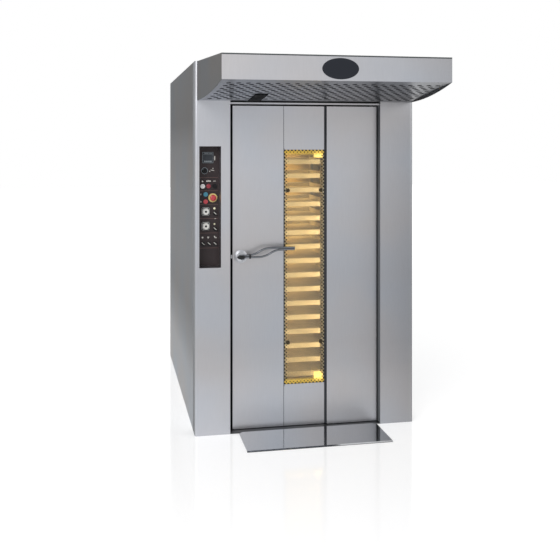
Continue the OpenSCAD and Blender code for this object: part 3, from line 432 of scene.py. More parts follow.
def tinted_glass(name, tone, dots=None):
    """Toughened float glass with a bronze-gold coating. Near its edges the pane carries rows of
    small fired dots that hide the seal. Light from the lamps goes through it tinted. `dots` is
    the pane's middle, its half width and half height, the dotted border's width at the sides
    and at the ends, and the dots' spacing."""
    made, tree = new_material(name)
    body = put(tree, "ShaderNodeBsdfPrincipled", in_Base_Color=tone, in_Roughness=0.01,
               in_IOR=1.5, in_Transmission_Weight=1.0)
    clear = put(tree, "ShaderNodeBsdfTransparent", in_Color=tone)
    path = put(tree, "ShaderNodeLightPath")
    pane = put(tree, "ShaderNodeMixShader",
               {"0": path.outputs["Is Shadow Ray"], "1": body.outputs[0], "2": clear.outputs[0]})
    if not dots:
        close(tree, pane.outputs[0])
        return made
    middle, half_x, half_z, side, end, pitch = dots
    where = put(tree, "ShaderNodeTexCoord").outputs["Object"]
    shifted = put(tree, "ShaderNodeVectorMath", {"0": where}, in_1=middle, operation="SUBTRACT")
    away = put(tree, "ShaderNodeVectorMath", {"0": shifted.outputs[0]}, operation="ABSOLUTE")
    axes = put(tree, "ShaderNodeSeparateXYZ", {"0": away.outputs[0]})
    # the dots shrink from the pane's edge inwards
    near_side = put(tree, "ShaderNodeMapRange", {"Value": axes.outputs["X"]},
                    in_1=half_x - side, in_2=half_x, in_3=0.0, in_4=0.44 * pitch)
    near_end = put(tree, "ShaderNodeMapRange", {"Value": axes.outputs["Z"]},
                   in_1=half_z - end, in_2=half_z, in_3=0.0, in_4=0.46 * pitch)
    reach = put(tree, "ShaderNodeMath", {"0": near_side.outputs[0], "1": near_end.outputs[0]},
                operation="MAXIMUM")
    turned = put(tree, "ShaderNodeMapping", {"Vector": shifted.outputs[0]},
                 in_Rotation=(0, math.radians(45), 0))
    cell = put(tree, "ShaderNodeVectorMath", {"0": turned.outputs[0]},
               in_1=(pitch, 10, pitch), operation="MODULO")
    flip = put(tree, "ShaderNodeVectorMath", {"0": cell.outputs[0]}, operation="ABSOLUTE")
    centred = put(tree, "ShaderNodeVectorMath", {"0": flip.outputs[0]},
                  in_1=(pitch / 2, 0, pitch / 2), operation="SUBTRACT")
    flat = put(tree, "ShaderNodeVectorMath", {"0": centred.outputs[0]}, in_1=(1, 0, 1),
               operation="MULTIPLY")
    radius = put(tree, "ShaderNodeVectorMath", {"0": flat.outputs[0]}, operation="LENGTH")
    dot = put(tree, "ShaderNodeMath", {"0": radius.outputs["Value"], "1": reach.outputs[0]},
              operation="LESS_THAN")
    # between the dots the ends carry a yellow painted glow that stands in for the light of the lamps
    lustre = put(tree, "ShaderNodeMapRange", {"Value": axes.outputs["Z"]},
                 in_1=half_z - end, in_2=half_z - 0.5 * end, in_3=0.0, in_4=0.55)
    gold = put(tree, "ShaderNodeBsdfPrincipled", in_Base_Color=linear("#C9A93C"),
               in_Roughness=0.3, in_Emission_Color=linear("#D6B446"), in_Emission_Strength=0.5)
    ends = put(tree, "ShaderNodeMixShader",
               {"0": lustre.outputs[0], "1": pane.outputs[0], "2": gold.outputs[0]})
    enamel = put(tree, "ShaderNodeBsdfPrincipled", in_Base_Color=linear("#2A2519"),
                 in_Roughness=0.4, in_Specular_IOR_Level=0.2)
    both = put(tree, "ShaderNodeMixShader",
               {"0": dot.outputs[0], "1": ends.outputs[0], "2": enamel.outputs[0]})
    close(tree, both.outputs[0])
    return made


def glowing(name, tone, strength):
    """Ribbed cover of a lamp that is switched on: warm light through clouded glass."""
    made, tree = new_material(name)
    where = put(tree, "ShaderNodeTexCoord").outputs["Object"]
    ribs = put(tree, "ShaderNodeTexWave", {"Vector": where}, bands_direction="Z",
               in_Scale=60.0, in_Distortion=0.0)
    power = put(tree, "ShaderNodeMapRange", {"Value": ribs.outputs["Fac"]},
                in_3=strength * 0.7, in_4=strength)
    lamp = put(tree, "ShaderNodeBsdfPrincipled", {"Emission Strength": power.outputs[0]},
               in_Base_Color=tone, in_Roughness=0.3, in_Emission_Color=tone)
    close(tree, lamp.outputs[0])
    return made


MATERIALS = {}


def finish_of(name):
    """The material of that name, made when it is first asked for."""
    if name not in MATERIALS:
        MATERIALS[name] = FINISHES[name]()
    return MATERIALS[name]


FINISHES = {
    # Stainless sheet, belt-ground upright: pale, with painted shade of soft broad reflections
    "satin_steel": lambda: front_steel("satin_stainless_sheet"),
    # The same sheet, with painted shade in grey and black on its faces in the gaps and recesses between the pillars,
    # the door's leaves and the header, and grey on the left pillar's side face
    "pillar_steel": lambda: front_steel(
        "pillar_stainless_sheet", [{"X": (0.5035, None), "Y": (FRONT + 2 * MM, None)},
                                   {"X": (None, -0.7325)}], "#6F7276"),
    "left_leaf_steel": lambda: front_steel(
        "left_leaf_stainless_sheet", [{"Y": (FRONT + 62.4 * MM, None)}], "#1B1C1F"),
    "middle_leaf_steel": lambda: front_steel(
        "middle_leaf_stainless_sheet",
        [{"X": (0.1336, None)}, {"X": (None, -0.1368), "Z": (0.27, 1.84)}], "#2C2E33"),
    "right_leaf_steel": lambda: front_steel(
        "right_leaf_stainless_sheet", [{"X": (None, 0.1502), "Y": (FRONT + 46 * MM, None)}],
        "#2C2E33"),
    # above its lip the header is black: painted shade under the hood
    "header_steel": lambda: front_steel(
        "header_stainless_sheet", [{"Z": (2.1385, None)}], "#1A1B1D"),
    # Stainless side sheet, duller than the front: it hardly mirrors at a slant
    "grey_steel": lambda: brushed_steel("dull_stainless_sheet", colours().side, 0.4,
                                        up=SIDE_UP, rim=0.15),
    # The hood's top sheet, with a dark grey strip along its front edge
    "hood_top_steel": lambda: brushed_steel(
        "hood_top_stainless_sheet", colours().side, 0.4, up=SIDE_UP, rim=0.15,
        dark=[{"Y": (None, FRONT - 810 * MM)}], dark_tone="#3A3F41"),
    # Cold-rolled stainless: nearly a mirror, so seams and trays show in it
    "bright_steel": lambda: brushed_steel("rolled_stainless_sheet", colours().bright, 0.2,
                                          tint=0.015, strength=0.05),
    # The ramp plate, nearly a mirror, with painted shade that darkens it towards the right and a painted shadow along
    # its front edge
    "ramp_steel": lambda: brushed_steel(
        "shaded_ramp_plate", colours().ramp, 0.07, stretch=(1, 0.02, 1), tint=0.01, strength=0.03,
        across=((-0.45, 1.0), (0.0, 0.85), (0.3, 0.75), (0.47, 0.62)),
        dark=[{"Y": (None, FRONT - 344 * MM)}], dark_tone="#4A4C4F"),
    # Perforated stainless sheet that hangs face down in the hood's own shade, with painted shade: darker towards the
    # right, black inside its holes and round each hole
    "grille_steel": lambda: brushed_steel(
        "perforated_stainless_sheet", linear("#8A8E96"), 0.3, tint=0.02, strength=0.05,
        across=((-0.67, 1.0), (0.0, 0.95), (0.3, 0.7), (0.67, 0.34)), behind=grille_plane(),
        holes=hole_rims, dark_tone="#15181F"),
    # Hot-rolled floor plate: dark, with a matt skin
    "plate_steel": lambda: brushed_steel("rolled_floor_plate", linear("#5C5D5F"), 0.45,
                                         stretch=(0.02, 1, 1)),
    # Stainless skin over mineral wool, dulled by heat to a warm straw; outside it stays grey
    "insulated_wall": lambda: brushed_steel(
        "heat_dulled_stainless_skin", linear("#D6BF90"), 0.42, tint=0.06,
        dark=[{"X": (0.66, None)}, {"X": (None, -0.66)}], dark_tone="#8F9194"),
    # The door's steel tray, with painted shade on its inner rebate
    "insulated_door": lambda: brushed_steel("door_tray_steel", linear("#A8A49A"), 0.38,
                                            dark=[{"Y": (None, FRONT + 63 * MM)}],
                                            dark_tone="#383B40"),
    # Silicone rubber: soft black with hardly any shine
    "seal_rubber": lambda: grained("silicone_rubber_seal", linear("#141414"), 0.75, 1.5, 0.05),
    # Cast acrylic: even, dark and glossy
    "badge_plastic": lambda: grained("gloss_acrylic_plate", colours().badge, 0.15, 4, 0.005,
                                     spread=0.02, shine=0.15),
    # Powder coat: matt black with a fine pebbled skin
    "lamp_black": lambda: grained("black_powder_coat", linear("#050506"), 0.6, 1.2, 0.05,
                                  shine=0.05),
    # Polycarbonate foil printed from behind: a smooth face with a soft gloss
    "panel_black": lambda: grained("printed_front_foil", colours().panel, 0.25, 3, 0.01,
                                   spread=0.12, shine=0.15),
    # Moulded ABS: a fine even skin, glossier on the caps that fingers rub
    "display_grey": lambda: grained("dark_abs_housing", linear("#3C4046"), 0.35, 1.5, 0.02,
                                    shine=0.2),
    "bezel_white": lambda: grained("light_abs_moulding", linear("#A9A9A7"), 0.45, 1.5, 0.02),
    "dial_white": lambda: grained("white_abs_dial", linear("#F4F2EC"), 0.4, 1.5, 0.02),
    "signal_yellow": lambda: grained("yellow_abs_disc", colours().yellow, 0.4, 1.5, 0.02),
    "signal_red": lambda: grained("red_abs_cap", colours().red, 0.3, 1.5, 0.02, coat=0.3),
    "button_white": lambda: grained("white_abs_cap", linear("#FAFAF7"), 0.3, 1.5, 0.02,
                                    coat=0.3),
    "button_black": lambda: grained("black_abs_cap", linear("#111215"), 0.35, 1.5, 0.02,
                                    shine=0.2),
    "button_blue": lambda: grained("blue_abs_cap", colours().blue, 0.3, 1.5, 0.02, coat=0.3),
    # Cast acrylic lenses, smooth and slightly deep
    "lamp_red": lambda: grained("red_acrylic_lens", linear("#A8404A"), 0.3, 3, 0.01, shine=0.3),
    "lamp_cream": lambda: grained("cream_acrylic_lens", linear("#F4EFCB"), 0.2, 3, 0.01,
                                  coat=0.5),
    # Screen inks: flat and thick at their edges
    "white_ink": lambda: grained("white_printing_ink", linear("#EDEAE2"), 0.5, 0.8, 0.01),
    "brown_ink": lambda: grained("brown_printing_ink", linear("#7C5B55"), 0.5, 0.8, 0.01),
    "pale_ink": lambda: grained("pale_grey_ink", linear("#8E979C"), 0.5, 0.8, 0.01),
    # Machine enamel on cast aluminium: the coarse cast skin shows through a satin coat
    "motor_grey": lambda: grained("grey_machine_enamel", linear("#5B666B"), 0.4, 2.5, 0.15),
    # Heat-resisting steel, straw to brown from the fire
    "exchanger_steel": lambda: brushed_steel("fire_tinted_steel", linear("#8F7F72"), 0.5,
                                             tint=0.14),
    # Stove enamel: smooth and glossy
    "burner_red": lambda: grained("red_enamel_cover", linear("#B3231F"), 0.3, 2, 0.05, coat=0.4),
    # Welded and pickled stainless tube: dull and even, with a warm tint painted in for the light of the oven's lamps
    "rack_steel": lambda: brushed_steel("pickled_stainless_tube", linear("#B8AE8C"), 0.36,
                                        stretch=(1, 0.02, 1)),
    # Pressed aluminium with a thin baked-on film: pale and warm, with a soft sheen
    "tray_aluminium": lambda: grained("seasoned_aluminium_tray", colours().tray, 0.42, 6, 0.1,
                                      metal=0.35, spread=0.12),
    # Moulded phenolic resin: dark brown, half matt
    "wheel_plastic": lambda: grained("phenolic_wheel", linear("#3A2A22"), 0.5, 1.5, 0.08),
    # Steel bronzed in hot oil: dark brown, half matt
    "fixing_dark": lambda: grained("dark_bronzed_cap", linear("#3A3222"), 0.4, 1.5, 0.03,
                                   metal=0.6),
    # Ribbed borosilicate lamp covers: they glow, and most on the ribs
    "lamp_glass": lambda: glowing("warm_lamp_cover", linear("#FFEC96"), 1.3),
    # A dark mat laid inside the hood over the perforated sheet: painted shade seen through the holes, coarse and dark
    "filter_mat": lambda: grained("painted_shade_mat", linear("#1B1F27"), 0.8, 3, 0.4, shine=0.1),
    # Black with a soft sheen: painted dark reflection on the lever's boss and collar
    "boss_black": lambda: grained("dark_reflection_boss", linear("#0D0E10"), 0.35, 1.5, 0.03,
                                  shine=0.3),
    # Polished and chromed die-cast metal: dark, with small sharp highlights
    "handle_white": lambda: grained("polished_chromed_metal", colours().handle, 0.16, 8, 0.01,
                                    metal=1.0, spread=0.02),
    # Turned and bead-blasted steel: pale, with no sharp highlight
    "rosette_satin": lambda: grained("blasted_steel_rosette", linear("#C4C6CA"), 0.5, 2, 0.02,
                                     metal=1.0, spread=0.03),
}


def dress(*nodes, finish=None):
    """Gives each CAD node the finish of its material slot in the record, or the one named."""
    slots = {row["node"]: row["material_slot"] for row in frame["record"]["subparts"]}
    for name in nodes:
        piece = frame["nodes"][name]
        piece.data.materials.clear()
        piece.data.materials.append(finish_of(finish or slots[name]))


# ---------------------------------------------------------------- modelling

def block(bm, low, high, edge, steps=2):
    """A block between two corners, whose edges are rounded by `edge`, or sharp where it is 0."""
    low, high = Vector(low), Vector(high)
    made = bmesh.ops.create_cube(bm, size=1.0)["verts"]
    bmesh.ops.scale(bm, verts=made, vec=high - low)
    bmesh.ops.translate(bm, verts=made, vec=(low + high) / 2)
    if edge:
        edges = list({e for v in made for e in v.link_edges})
        bmesh.ops.bevel(bm, geom=edges, offset=edge, offset_type="OFFSET", affect="EDGES",
                        segments=steps, profile=0.5, material=-1)


def turned(bm, profile, place, steps=48):
    """A turned shape from (radius, height) points; its axis leaves `place` towards the front."""
    before = set(bm.verts)
    loop = [bm.verts.new((r, 0, h)) for r, h in profile]
    edges = [bm.edges.new(pair) for pair in zip(loop, loop[1:])]
    bmesh.ops.spin(bm, geom=loop + edges, cent=(0, 0, 0), axis=(0, 0, 1), angle=math.tau,
                   steps=steps, use_merge=True)
    grown = [v for v in bm.verts if v not in before]
    bmesh.ops.rotate(bm, verts=grown, cent=(0, 0, 0),
                     matrix=Matrix.Rotation(math.radians(90), 3, "X"))
    bmesh.ops.translate(bm, verts=grown, vec=Vector(place))
    return grown


def capped(radius, height, edge, inner=0.0, foot=0.0):
    """Profile of a disc with a rounded front edge, from its foot to its front."""
    points = [(inner, foot), (radius, foot)]
    for i in range(5):
        a = math.radians(i * 22.5)
        points.append((radius - edge + edge * math.cos(a), height - edge + edge * math.sin(a)))
    points.append((inner, height))
    return points


# An edge that turns by more than this stays sharp
SHARP = math.radians(35)


def finish_mesh(name, bm, body, slot, replaces=(), material=None):
    """Turns a bmesh into an object on a body, with clean outward faces. Its finish is the
    record's slot of that name, or the one that `material` names."""
    bmesh.ops.remove_doubles(bm, verts=bm.verts, dist=1e-6)
    bmesh.ops.recalc_face_normals(bm, faces=bm.faces)
    for face in bm.faces:
        face.smooth = True
    for e in bm.edges:
        if len(e.link_faces) == 2 and e.calc_face_angle(0) > SHARP:
            e.smooth = False
    mesh = bpy.data.meshes.new(name)
    bm.to_mesh(mesh)
    bm.free()
    made = bpy.data.objects.new(name, mesh)
    bpy.context.scene.collection.objects.link(made)
    mesh.materials.append(finish_of(material or slot))
    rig.ride(made, body)
    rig.slot(made, slot)
    if replaces:
        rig.replaces(made, *replaces)
    return made


def centre_of(node):
    """Middle of a node in X and Z, and the Y of its front."""
    low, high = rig.box(node)
    return (low.x + high.x) / 2, (low.z + high.z) / 2, low.y


def radius_of(node):
    """Half the width of a node."""
    low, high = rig.box(node)
    return (high.x - low.x) / 2


# ---------------------------------------------------------------- pieces

class OVEN_OT_cabinet(bpy.types.Operator):
    """Finish the cabinet's outer sheets, its insulated walls and its seal"""
    bl_idname = "oven.cabinet"
    bl_label = "Cabinet"
    bl_options = {"REGISTER", "UNDO"}

    def execute(self, context):
        dress("base_frame", "door_frame", "outer_panels", "roof_panel", "chamber_walls",
              "chamber_ceiling", "air_duct_panels", "door_seal", "control_box")
        dress("left_pillar", "right_pillar", finish="pillar_steel")
        dress("door_header", finish="header_steel")
        dress("ramp_plate", finish="ramp_steel")
        return {"FINISHED"}


class OVEN_OT_hood(bpy.types.Operator):
    """Finish the hood's sheets and its lamp, and make a dark mat of painted shade inside it and its oval plate"""
    bl_idname = "oven.hood"
    bl_label = "Hood"
    bl_options = {"REGISTER", "UNDO"}

    def execute(self, context):
        dress("hood_fascia", "hood_end_panels", "hood_lamp")
        dress("hood_top_panel", finish="hood_top_steel")
        dress("hood_grille", finish="grille_steel")
        self.filter_mat()
        self.oval_plate()
        return {"FINISHED"}

    def filter_mat(self):
        # a dark mat of painted shade behind the holes; it lies on the perforated sheet: its underside follows the
        # sheet's slope
        low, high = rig.box("hood_grille")
        slope = (low.z - high.z) / (high.y - low.y)
        bm = bmesh.new()
        block(bm, (low.x + 110 * MM, low.y + 90 * MM, high.z + 3 * MM),
              (high.x - 110 * MM, high.y - 20 * MM, high.z + 9 * MM), 2 * MM, 1)
        for vert in bm.verts:
            vert.co.z += slope * (vert.co.y - low.y)
        finish_mesh("filter_mat", bm, "cabinet", "lamp_black", material="filter_mat")

    def oval_plate(self):
        # a turned disc as high as the oval, widened about its own middle
        x, z, front = centre_of("hood_badge")
        low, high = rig.box("hood_badge")
        back = high.y
        bm = bmesh.new()
        verts = turned(bm, capped(high.z - z, back - front, 1.6 * MM), (x, back, z), steps=96)
        bmesh.ops.scale(bm, verts=verts, vec=((high.x - low.x) / (high.z - low.z), 1, 1),
                        space=Matrix.Translation((-x, -back, -z)))
        finish_mesh("oval_plate", bm, "cabinet", "badge_plastic", ("hood_badge",))


class OVEN_OT_drives(bpy.types.Operator):
    """Finish the motors, the burner and the heat exchanger"""
    bl_idname = "oven.drives"
    bl_label = "Drives and heating"
    bl_options = {"REGISTER", "UNDO"}

    def execute(self, context):
        dress("gear_motor", "heat_exchanger", "fan_motor", "burner", "fan_wheel")
        return {"FINISHED"}


class OVEN_OT_rack(bpy.types.Operator):
    """Finish the rack's frame and hook"""
    bl_idname = "oven.rack"
    bl_label = "Rack"
    bl_options = {"REGISTER", "UNDO"}

    def execute(self, context):
        dress("drive_hook", "rack_frame", "rack_runners", "rack_trays", "front_left_wheel",
              "front_right_wheel", "rear_left_wheel", "rear_right_wheel")
        # every tray's rim is rolled over a wire
        tray_count, tray_step = 18, 99 * MM
        low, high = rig.box("rack_trays")
        edge = sizes().tray_edge
        roll = 2 * edge
        bm = bmesh.new()
        for k in range(tray_count):
            top = high.z - k * tray_step
            for y in (low.y, high.y - roll):
                block(bm, (low.x, y, top - roll), (high.x, y + roll, top), edge * 0.8)
            for x in (low.x, high.x - roll):
                block(bm, (x, low.y + roll, top - roll), (x + roll, high.y - roll, top),
                      edge * 0.8)
        finish_mesh("rolled_rims", bm, "rack", "tray_aluminium")
        return {"FINISHED"}


class OVEN_OT_door(bpy.types.Operator):
    """Finish the door's sheets and its latch"""
    bl_idname = "oven.door"
    bl_label = "Door"
    bl_options = {"REGISTER", "UNDO"}

    def execute(self, context):
        dress("door_core", "window_fixings", "latch_roller", "door_lamps", "lever_handle")
        dress("handle_rosette", finish="rosette_satin")
        for side in ("left", "middle", "right"):
            dress(f"door_{side}_panel", finish=f"{side}_leaf_steel")
        # black boss over the lever's root, drawn out like a spindle, and the rods' collar; their black is painted dark
        # reflection
        front = centre_of("lever_handle")[2]
        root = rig.box("lever_handle")[0].x + 7 * MM
        axle = centre_of("handle_rosette")[1]
        bm = bmesh.new()
        boss = turned(bm, capped(13 * MM, 16 * MM, 6 * MM, 0, -2 * MM),
                      (root, front + 9 * MM, axle + 5 * MM))
        bmesh.ops.scale(bm, verts=boss, vec=(2.0, 1, 1),
                        space=Matrix.Translation((-root, -front, -axle)))
        block(bm, (root + 52 * MM, front + 1 * MM, axle - 6 * MM),
              (root + 64 * MM, front + 22 * MM, axle + 24 * MM), 3 * MM)
        finish_mesh("lever_boss", bm, "lever", "handle_white", material="boss_black")
        return {"FINISHED"}


class OVEN_OT_window(bpy.types.Operator):
    """Make the window's two panes"""
    bl_idname = "oven.window"
    bl_label = "Window"
    bl_options = {"REGISTER", "UNDO"}

    def execute(self, context):
        low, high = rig.box("window_panes")
        thick = 6 * MM      # thickness of each pane
        inset = 2 * MM      # the inner pane is this much smaller on every side
        outer_high = Vector((high.x, low.y + thick, high.z))
        bm = bmesh.new()
        block(bm, low, outer_high, sizes().pane_edge, 1)
        MATERIALS["outer_glass"] = tinted_glass(
            "gold_coated_float_glass", tuple(colours().glass),
            (tuple((low + outer_high) / 2), (high.x - low.x) / 2, (high.z - low.z) / 2,
             sizes().dot_border, sizes().dot_border_end, sizes().dot_pitch))
        finish_mesh("outer_pane", bm, "door", "window_glass", ("window_panes",),
                    material="outer_glass")
        MATERIALS["inner_glass"] = tinted_glass("clear_float_glass", linear("#FBF3E2"))
        bm = bmesh.new()
        block(bm, (low.x + inset, high.y - thick, low.z + inset),
              (high.x - inset, high.y, high.z - inset), sizes().pane_edge, 1)
        finish_mesh("inner_pane", bm, "door", "window_glass", material="inner_glass")
        return {"FINISHED"}


def face_mark(bm, x, height, depth, wide, tall, thick=0.5, turn=0.0, edge=0.0):
    """A flat printed or moulded bar on a front face; sizes in millimetres, turn in degrees."""
    made = bmesh.new()
    block(made, (-wide / 2 * MM, -thick * MM, -tall / 2 * MM), (wide / 2 * MM, 0, tall / 2 * MM),
          edge * MM, 1)
    bmesh.ops.rotate(made, verts=made.verts, matrix=Matrix.Rotation(math.radians(turn), 3, "Y"))
    bmesh.ops.translate(made, verts=made.verts, vec=at(x, depth, height))
    spare = bpy.data.meshes.new("mark")
    made.to_mesh(spare)
    made.free()
    bm.from_mesh(spare)
    bpy.data.meshes.remove(spare)


def panel_plane():
    """Front plane of the control panel."""
    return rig.box("control_panel")[0].y


def panel_depth():
    """Millimetres from the cabinet's front face back to the control panel."""
    return (panel_plane() - FRONT) / MM


def disc(bm, node, radius, low, high, edge, inner=0.0):
    """A turned disc on a control's axis, from `low` to `high` millimetres off the panel."""
    x, z = centre_of(node)[:2]
    profile = capped(radius * MM, high * MM, edge * MM, inner * MM, low * MM)
    turned(bm, profile, (x, panel_plane(), z), steps=40)


def lens(bm, x, height, radius, rise, steps):
    """A domed lamp lens on the control panel; sizes in millimetres."""
    turned(bm, [(0, 0), (radius * MM, 0), (radius * MM, 3 * MM),
                (0.9 * radius * MM, (3 + rise) / 2 * MM), (0.6 * radius * MM, (rise - 0.6) * MM),
                (0, rise * MM)], at(x, panel_depth(), height), steps=steps)


class OVEN_OT_controls(bpy.types.Operator):
    """Make the knobs, dials, buttons, lamps and printed marks of the control panel"""
    bl_idname = "oven.controls"
    bl_label = "Controls"
    bl_options = {"REGISTER", "UNDO"}

    def execute(self, context):
        dress("control_panel", "controller_display", "emergency_disc")
        self.buttons()
        self.emergency_button()
        self.thermostat()
        self.timers()
        self.selectors()
        self.lamps()
        self.prints()
        self.display()
        return {"FINISHED"}

    def buttons(self):
        bevel = 1.6 * MM
        for name in ("white", "black", "blue", "red"):
            node = name + "_button"
            x, z, front = centre_of(node)
            radius = radius_of(node)
            height = panel_plane() - front
            bm = bmesh.new()
            # dished cap with a bevelled rim on a short collar
            rim = [(0, height * 0.45), (radius * 0.86, height * 0.45),
                   (radius * 0.86, height * 0.5)]
            for angle in (0, 30, 60, 90):
                rise = math.sin(math.radians(angle))
                rim.append((radius - bevel * (1 - rise), height - bevel + bevel * rise))
            rim += [(radius * 0.7, height - 0.2 * MM), (radius * 0.4, height - 0.9 * MM),
                    (0, height - 1.1 * MM)]
            turned(bm, rim, (x, panel_plane(), z), steps=40)
            slot = "signal_red" if name == "red" else "button_" + name
            finish_mesh(name + "_cap", bm, node, slot, (node,))

    def emergency_button(self):
        # a stem under a mushroom cap with a soft crown
        x, z, front = centre_of("emergency_button")
        radius = radius_of("emergency_button")
        top = panel_plane() - front
        bm = bmesh.new()
        turned(bm, [(0, 8 * MM), (radius - 6 * MM, 8 * MM), (radius - 6 * MM, top - 11 * MM),
                    (radius - 1 * MM, top - 10 * MM), (radius, top - 8 * MM),
                    (radius - 0.4 * MM, top - 5.5 * MM), (radius - 2.4 * MM, top - 3 * MM),
                    (radius - 6.5 * MM, top - 1.1 * MM), (radius - 11 * MM, top - 0.3 * MM),
                    (0, top)], (x, panel_plane(), z))
        finish_mesh("stop_mushroom", bm, "emergency_button", "signal_red", ("emergency_button",))

    def thermostat(self):
        # skirt with a pale scale ring, black cap with a grip bar
        x, z = centre_of("thermostat_knob")[:2]
        mid_x, mid_z = x / MM, z / MM
        depth = panel_depth()
        bm = bmesh.new()
        disc(bm, "thermostat_knob", 18.6, 0.2, 6, 0.8)
        disc(bm, "thermostat_knob", 15, 6, 14, 1.5)
        face_mark(bm, mid_x, mid_z, depth - 14, 7, 28, 5, 25, 1.5)
        finish_mesh("thermostat_cap", bm, "thermostat_knob", "button_black", ("thermostat_knob",))
        bm = bmesh.new()
        disc(bm, "thermostat_knob", 21.8, 0.4, 5, 0.8, inner=18.8)
        face_mark(bm, mid_x - 13, mid_z + 12, depth - 6, 8, 8, 1.2, 45, 0.4)
        finish_mesh("thermostat_scale", bm, "thermostat_knob", "dial_white", material="pale_ink")

    def timers(self):
        # light frames with dark corners, white dials with ticks and a dark hub
        depth = panel_depth()
        dials = ("upper_timer_dial", "lower_timer_dial")
        frames, corners = bmesh.new(), bmesh.new()
        for name in dials:
            x, z, front = centre_of(name)
            face_mark(frames, x / MM, z / MM, depth, 54, 54, 7.6, 0, 2)
            for dx, dz in ((-1, -1), (-1, 1), (1, -1), (1, 1)):
                face_mark(corners, x / MM + 21.5 * dx, z / MM + 21.5 * dz, depth - 7.6, 5, 13, 0.3,
                          45 * dx * dz)
        finish_mesh("timer_frames", frames, "cabinet", "bezel_white", ("timer_bezels",))
        finish_mesh("timer_corners", corners, "cabinet", "bezel_white", material="button_black")
        for name in dials:
            x, z, front = centre_of(name)
            face = panel_plane() - front
            bm = bmesh.new()
            turned(bm, capped(20.8 * MM, face, 1.2 * MM, 7 * MM, 8.2 * MM),
                   (x, panel_plane(), z))
            finish_mesh(name + "_plate", bm, name, "dial_white", (name,))
            bm = bmesh.new()
            turned(bm, capped(7 * MM, face + 1.5 * MM, 1 * MM, 0, 8.2 * MM),
                   (x, panel_plane(), z))
            for k in range(12):
                turn = math.radians(k * 30)
                face_mark(bm, x / MM + 17 * math.sin(turn), z / MM + 17 * math.cos(turn),
                          depth - face / MM, 1.0, 3.5, 0.3, k * 30)
            finish_mesh(name + "_hub", bm, name, "button_black")

    def selectors(self):
        # round foot, slanted grip with a pale pointer
        depth = panel_depth()
        for name in ("upper", "lower", "left", "middle", "right"):
            node = name + "_selector"
            x, z, front = centre_of(node)
            bm = bmesh.new()
            disc(bm, node, 13.5, 0.2, 4, 0.8)
            tall = (panel_plane() - front) / MM
            face_mark(bm, x / MM, z / MM, depth - 4, 8, 26, tall - 4, -45, 1.5)
            finish_mesh(node + "_grip", bm, node, "button_black", (node,))
            bm = bmesh.new()
            face_mark(bm, x / MM - 2.5, z / MM + 3.5, depth - tall, 3.4, 22, 0.3, -50)
            finish_mesh(node + "_pointer", bm, node, "dial_white", material="white_ink")

    def lamps(self):
        bm = bmesh.new()
        lens(bm, -633, 1593, 15, 8, 40)
        finish_mesh("red_pilot_lens", bm, "cabinet", "lamp_red", ("pilot_lamps",))
        bm = bmesh.new()
        lens(bm, -594, 1447, 8, 7, 32)
        lens(bm, -594, 1345, 6, 7, 32)
        finish_mesh("cream_pilot_lenses", bm, "cabinet", "lamp_red", material="lamp_cream")

    def prints(self):
        # printed lines between the groups of controls
        depth = panel_depth()
        bm = bmesh.new()
        for z in (1649, 1563, 1474, 1382, 1287, 1189):
            face_mark(bm, -635, z, depth, 134, 1.6)
        finish_mesh("printed_lines", bm, "cabinet", "panel_black", material="brown_ink")
        # plain marks above and beside the controls: place, width, height and turn of each
        bm = bmesh.new()
        marks = ((-592, 1776, 5, 28, 0), (-607, 1697, 22, 3, 8), (-603, 1709, 5, 5, 45),
                 (-625, 1690, 5, 6, 0), (-633, 1626, 30, 7, 0), (-633, 1630, 10, 5, 0),
                 (-672, 1624, 9, 9, 45), (-594, 1626, 16, 3, 0), (-672, 1258, 10, 10, 45),
                 (-635, 1260, 13, 6, 0), (-635, 1256, 5, 12, 0), (-592, 1260, 6, 15, -25),
                 (-586, 1256, 12, 6, 0), (-682, 1539, 5, 9, 0), (-682, 1492, 5, 9, 0),
                 (-588, 1380, 10, 3, 0))
        for x, z, wide, tall, turn in marks:
            face_mark(bm, x, z, depth, wide, tall, 0.5, turn)
        finish_mesh("printed_marks", bm, "cabinet", "dial_white", material="white_ink")

    def display(self):
        # pale frame and a row of keys under a dark screen
        x, z, front = centre_of("controller_display")
        face = (front - FRONT) / MM
        x, z = x / MM, z / MM
        bm = bmesh.new()
        for dx, dz, wide, tall in ((0, 34.5, 72, 2), (0, -34.5, 72, 2), (-35, 0, 2, 70),
                                   (35, 0, 2, 70), (0, 20, 60, 1.5), (-9, 28, 26, 4),
                                   (19, 27, 20, 3)):
            face_mark(bm, x + dx, z + dz, face, wide, tall, 0.6)
        for k in range(4):
            face_mark(bm, x - 19.5 + 13 * k, z - 25, face, 11, 9, 1.2, 0, 0.5)
        finish_mesh("display_keys", bm, "cabinet", "dial_white", material="pale_ink")


def seen(tree, *rays):
    """1 for the kinds of ray that are named, and 0 for the others."""
    path = put(tree, "ShaderNodeLightPath")
    found = path.outputs[rays[0]]
    for ray in rays[1:]:
        found = put(tree, "ShaderNodeMath", {"0": found, "1": path.outputs[ray]},
                    operation="MAXIMUM").outputs[0]
    return found


def lamp(name, place, aim, size, power, tint=(1, 1, 1)):
    """A soft rectangular lamp that looks at `aim`. Those inside the oven light it unseen."""
    light = bpy.data.lights.new(name, "AREA")
    light.shape = "RECTANGLE"
    light.size, light.size_y = size
    light.energy = power
    light.color = tint
    made = bpy.data.objects.new(name, light)
    made.location = place
    made.rotation_euler = (Vector(aim) - Vector(place)).to_track_quat("-Z", "Y").to_euler()
    outside = place[1] < FRONT
    made.visible_camera = made.visible_transmission = made.visible_glossy = outside
    bpy.context.scene.collection.objects.link(made)


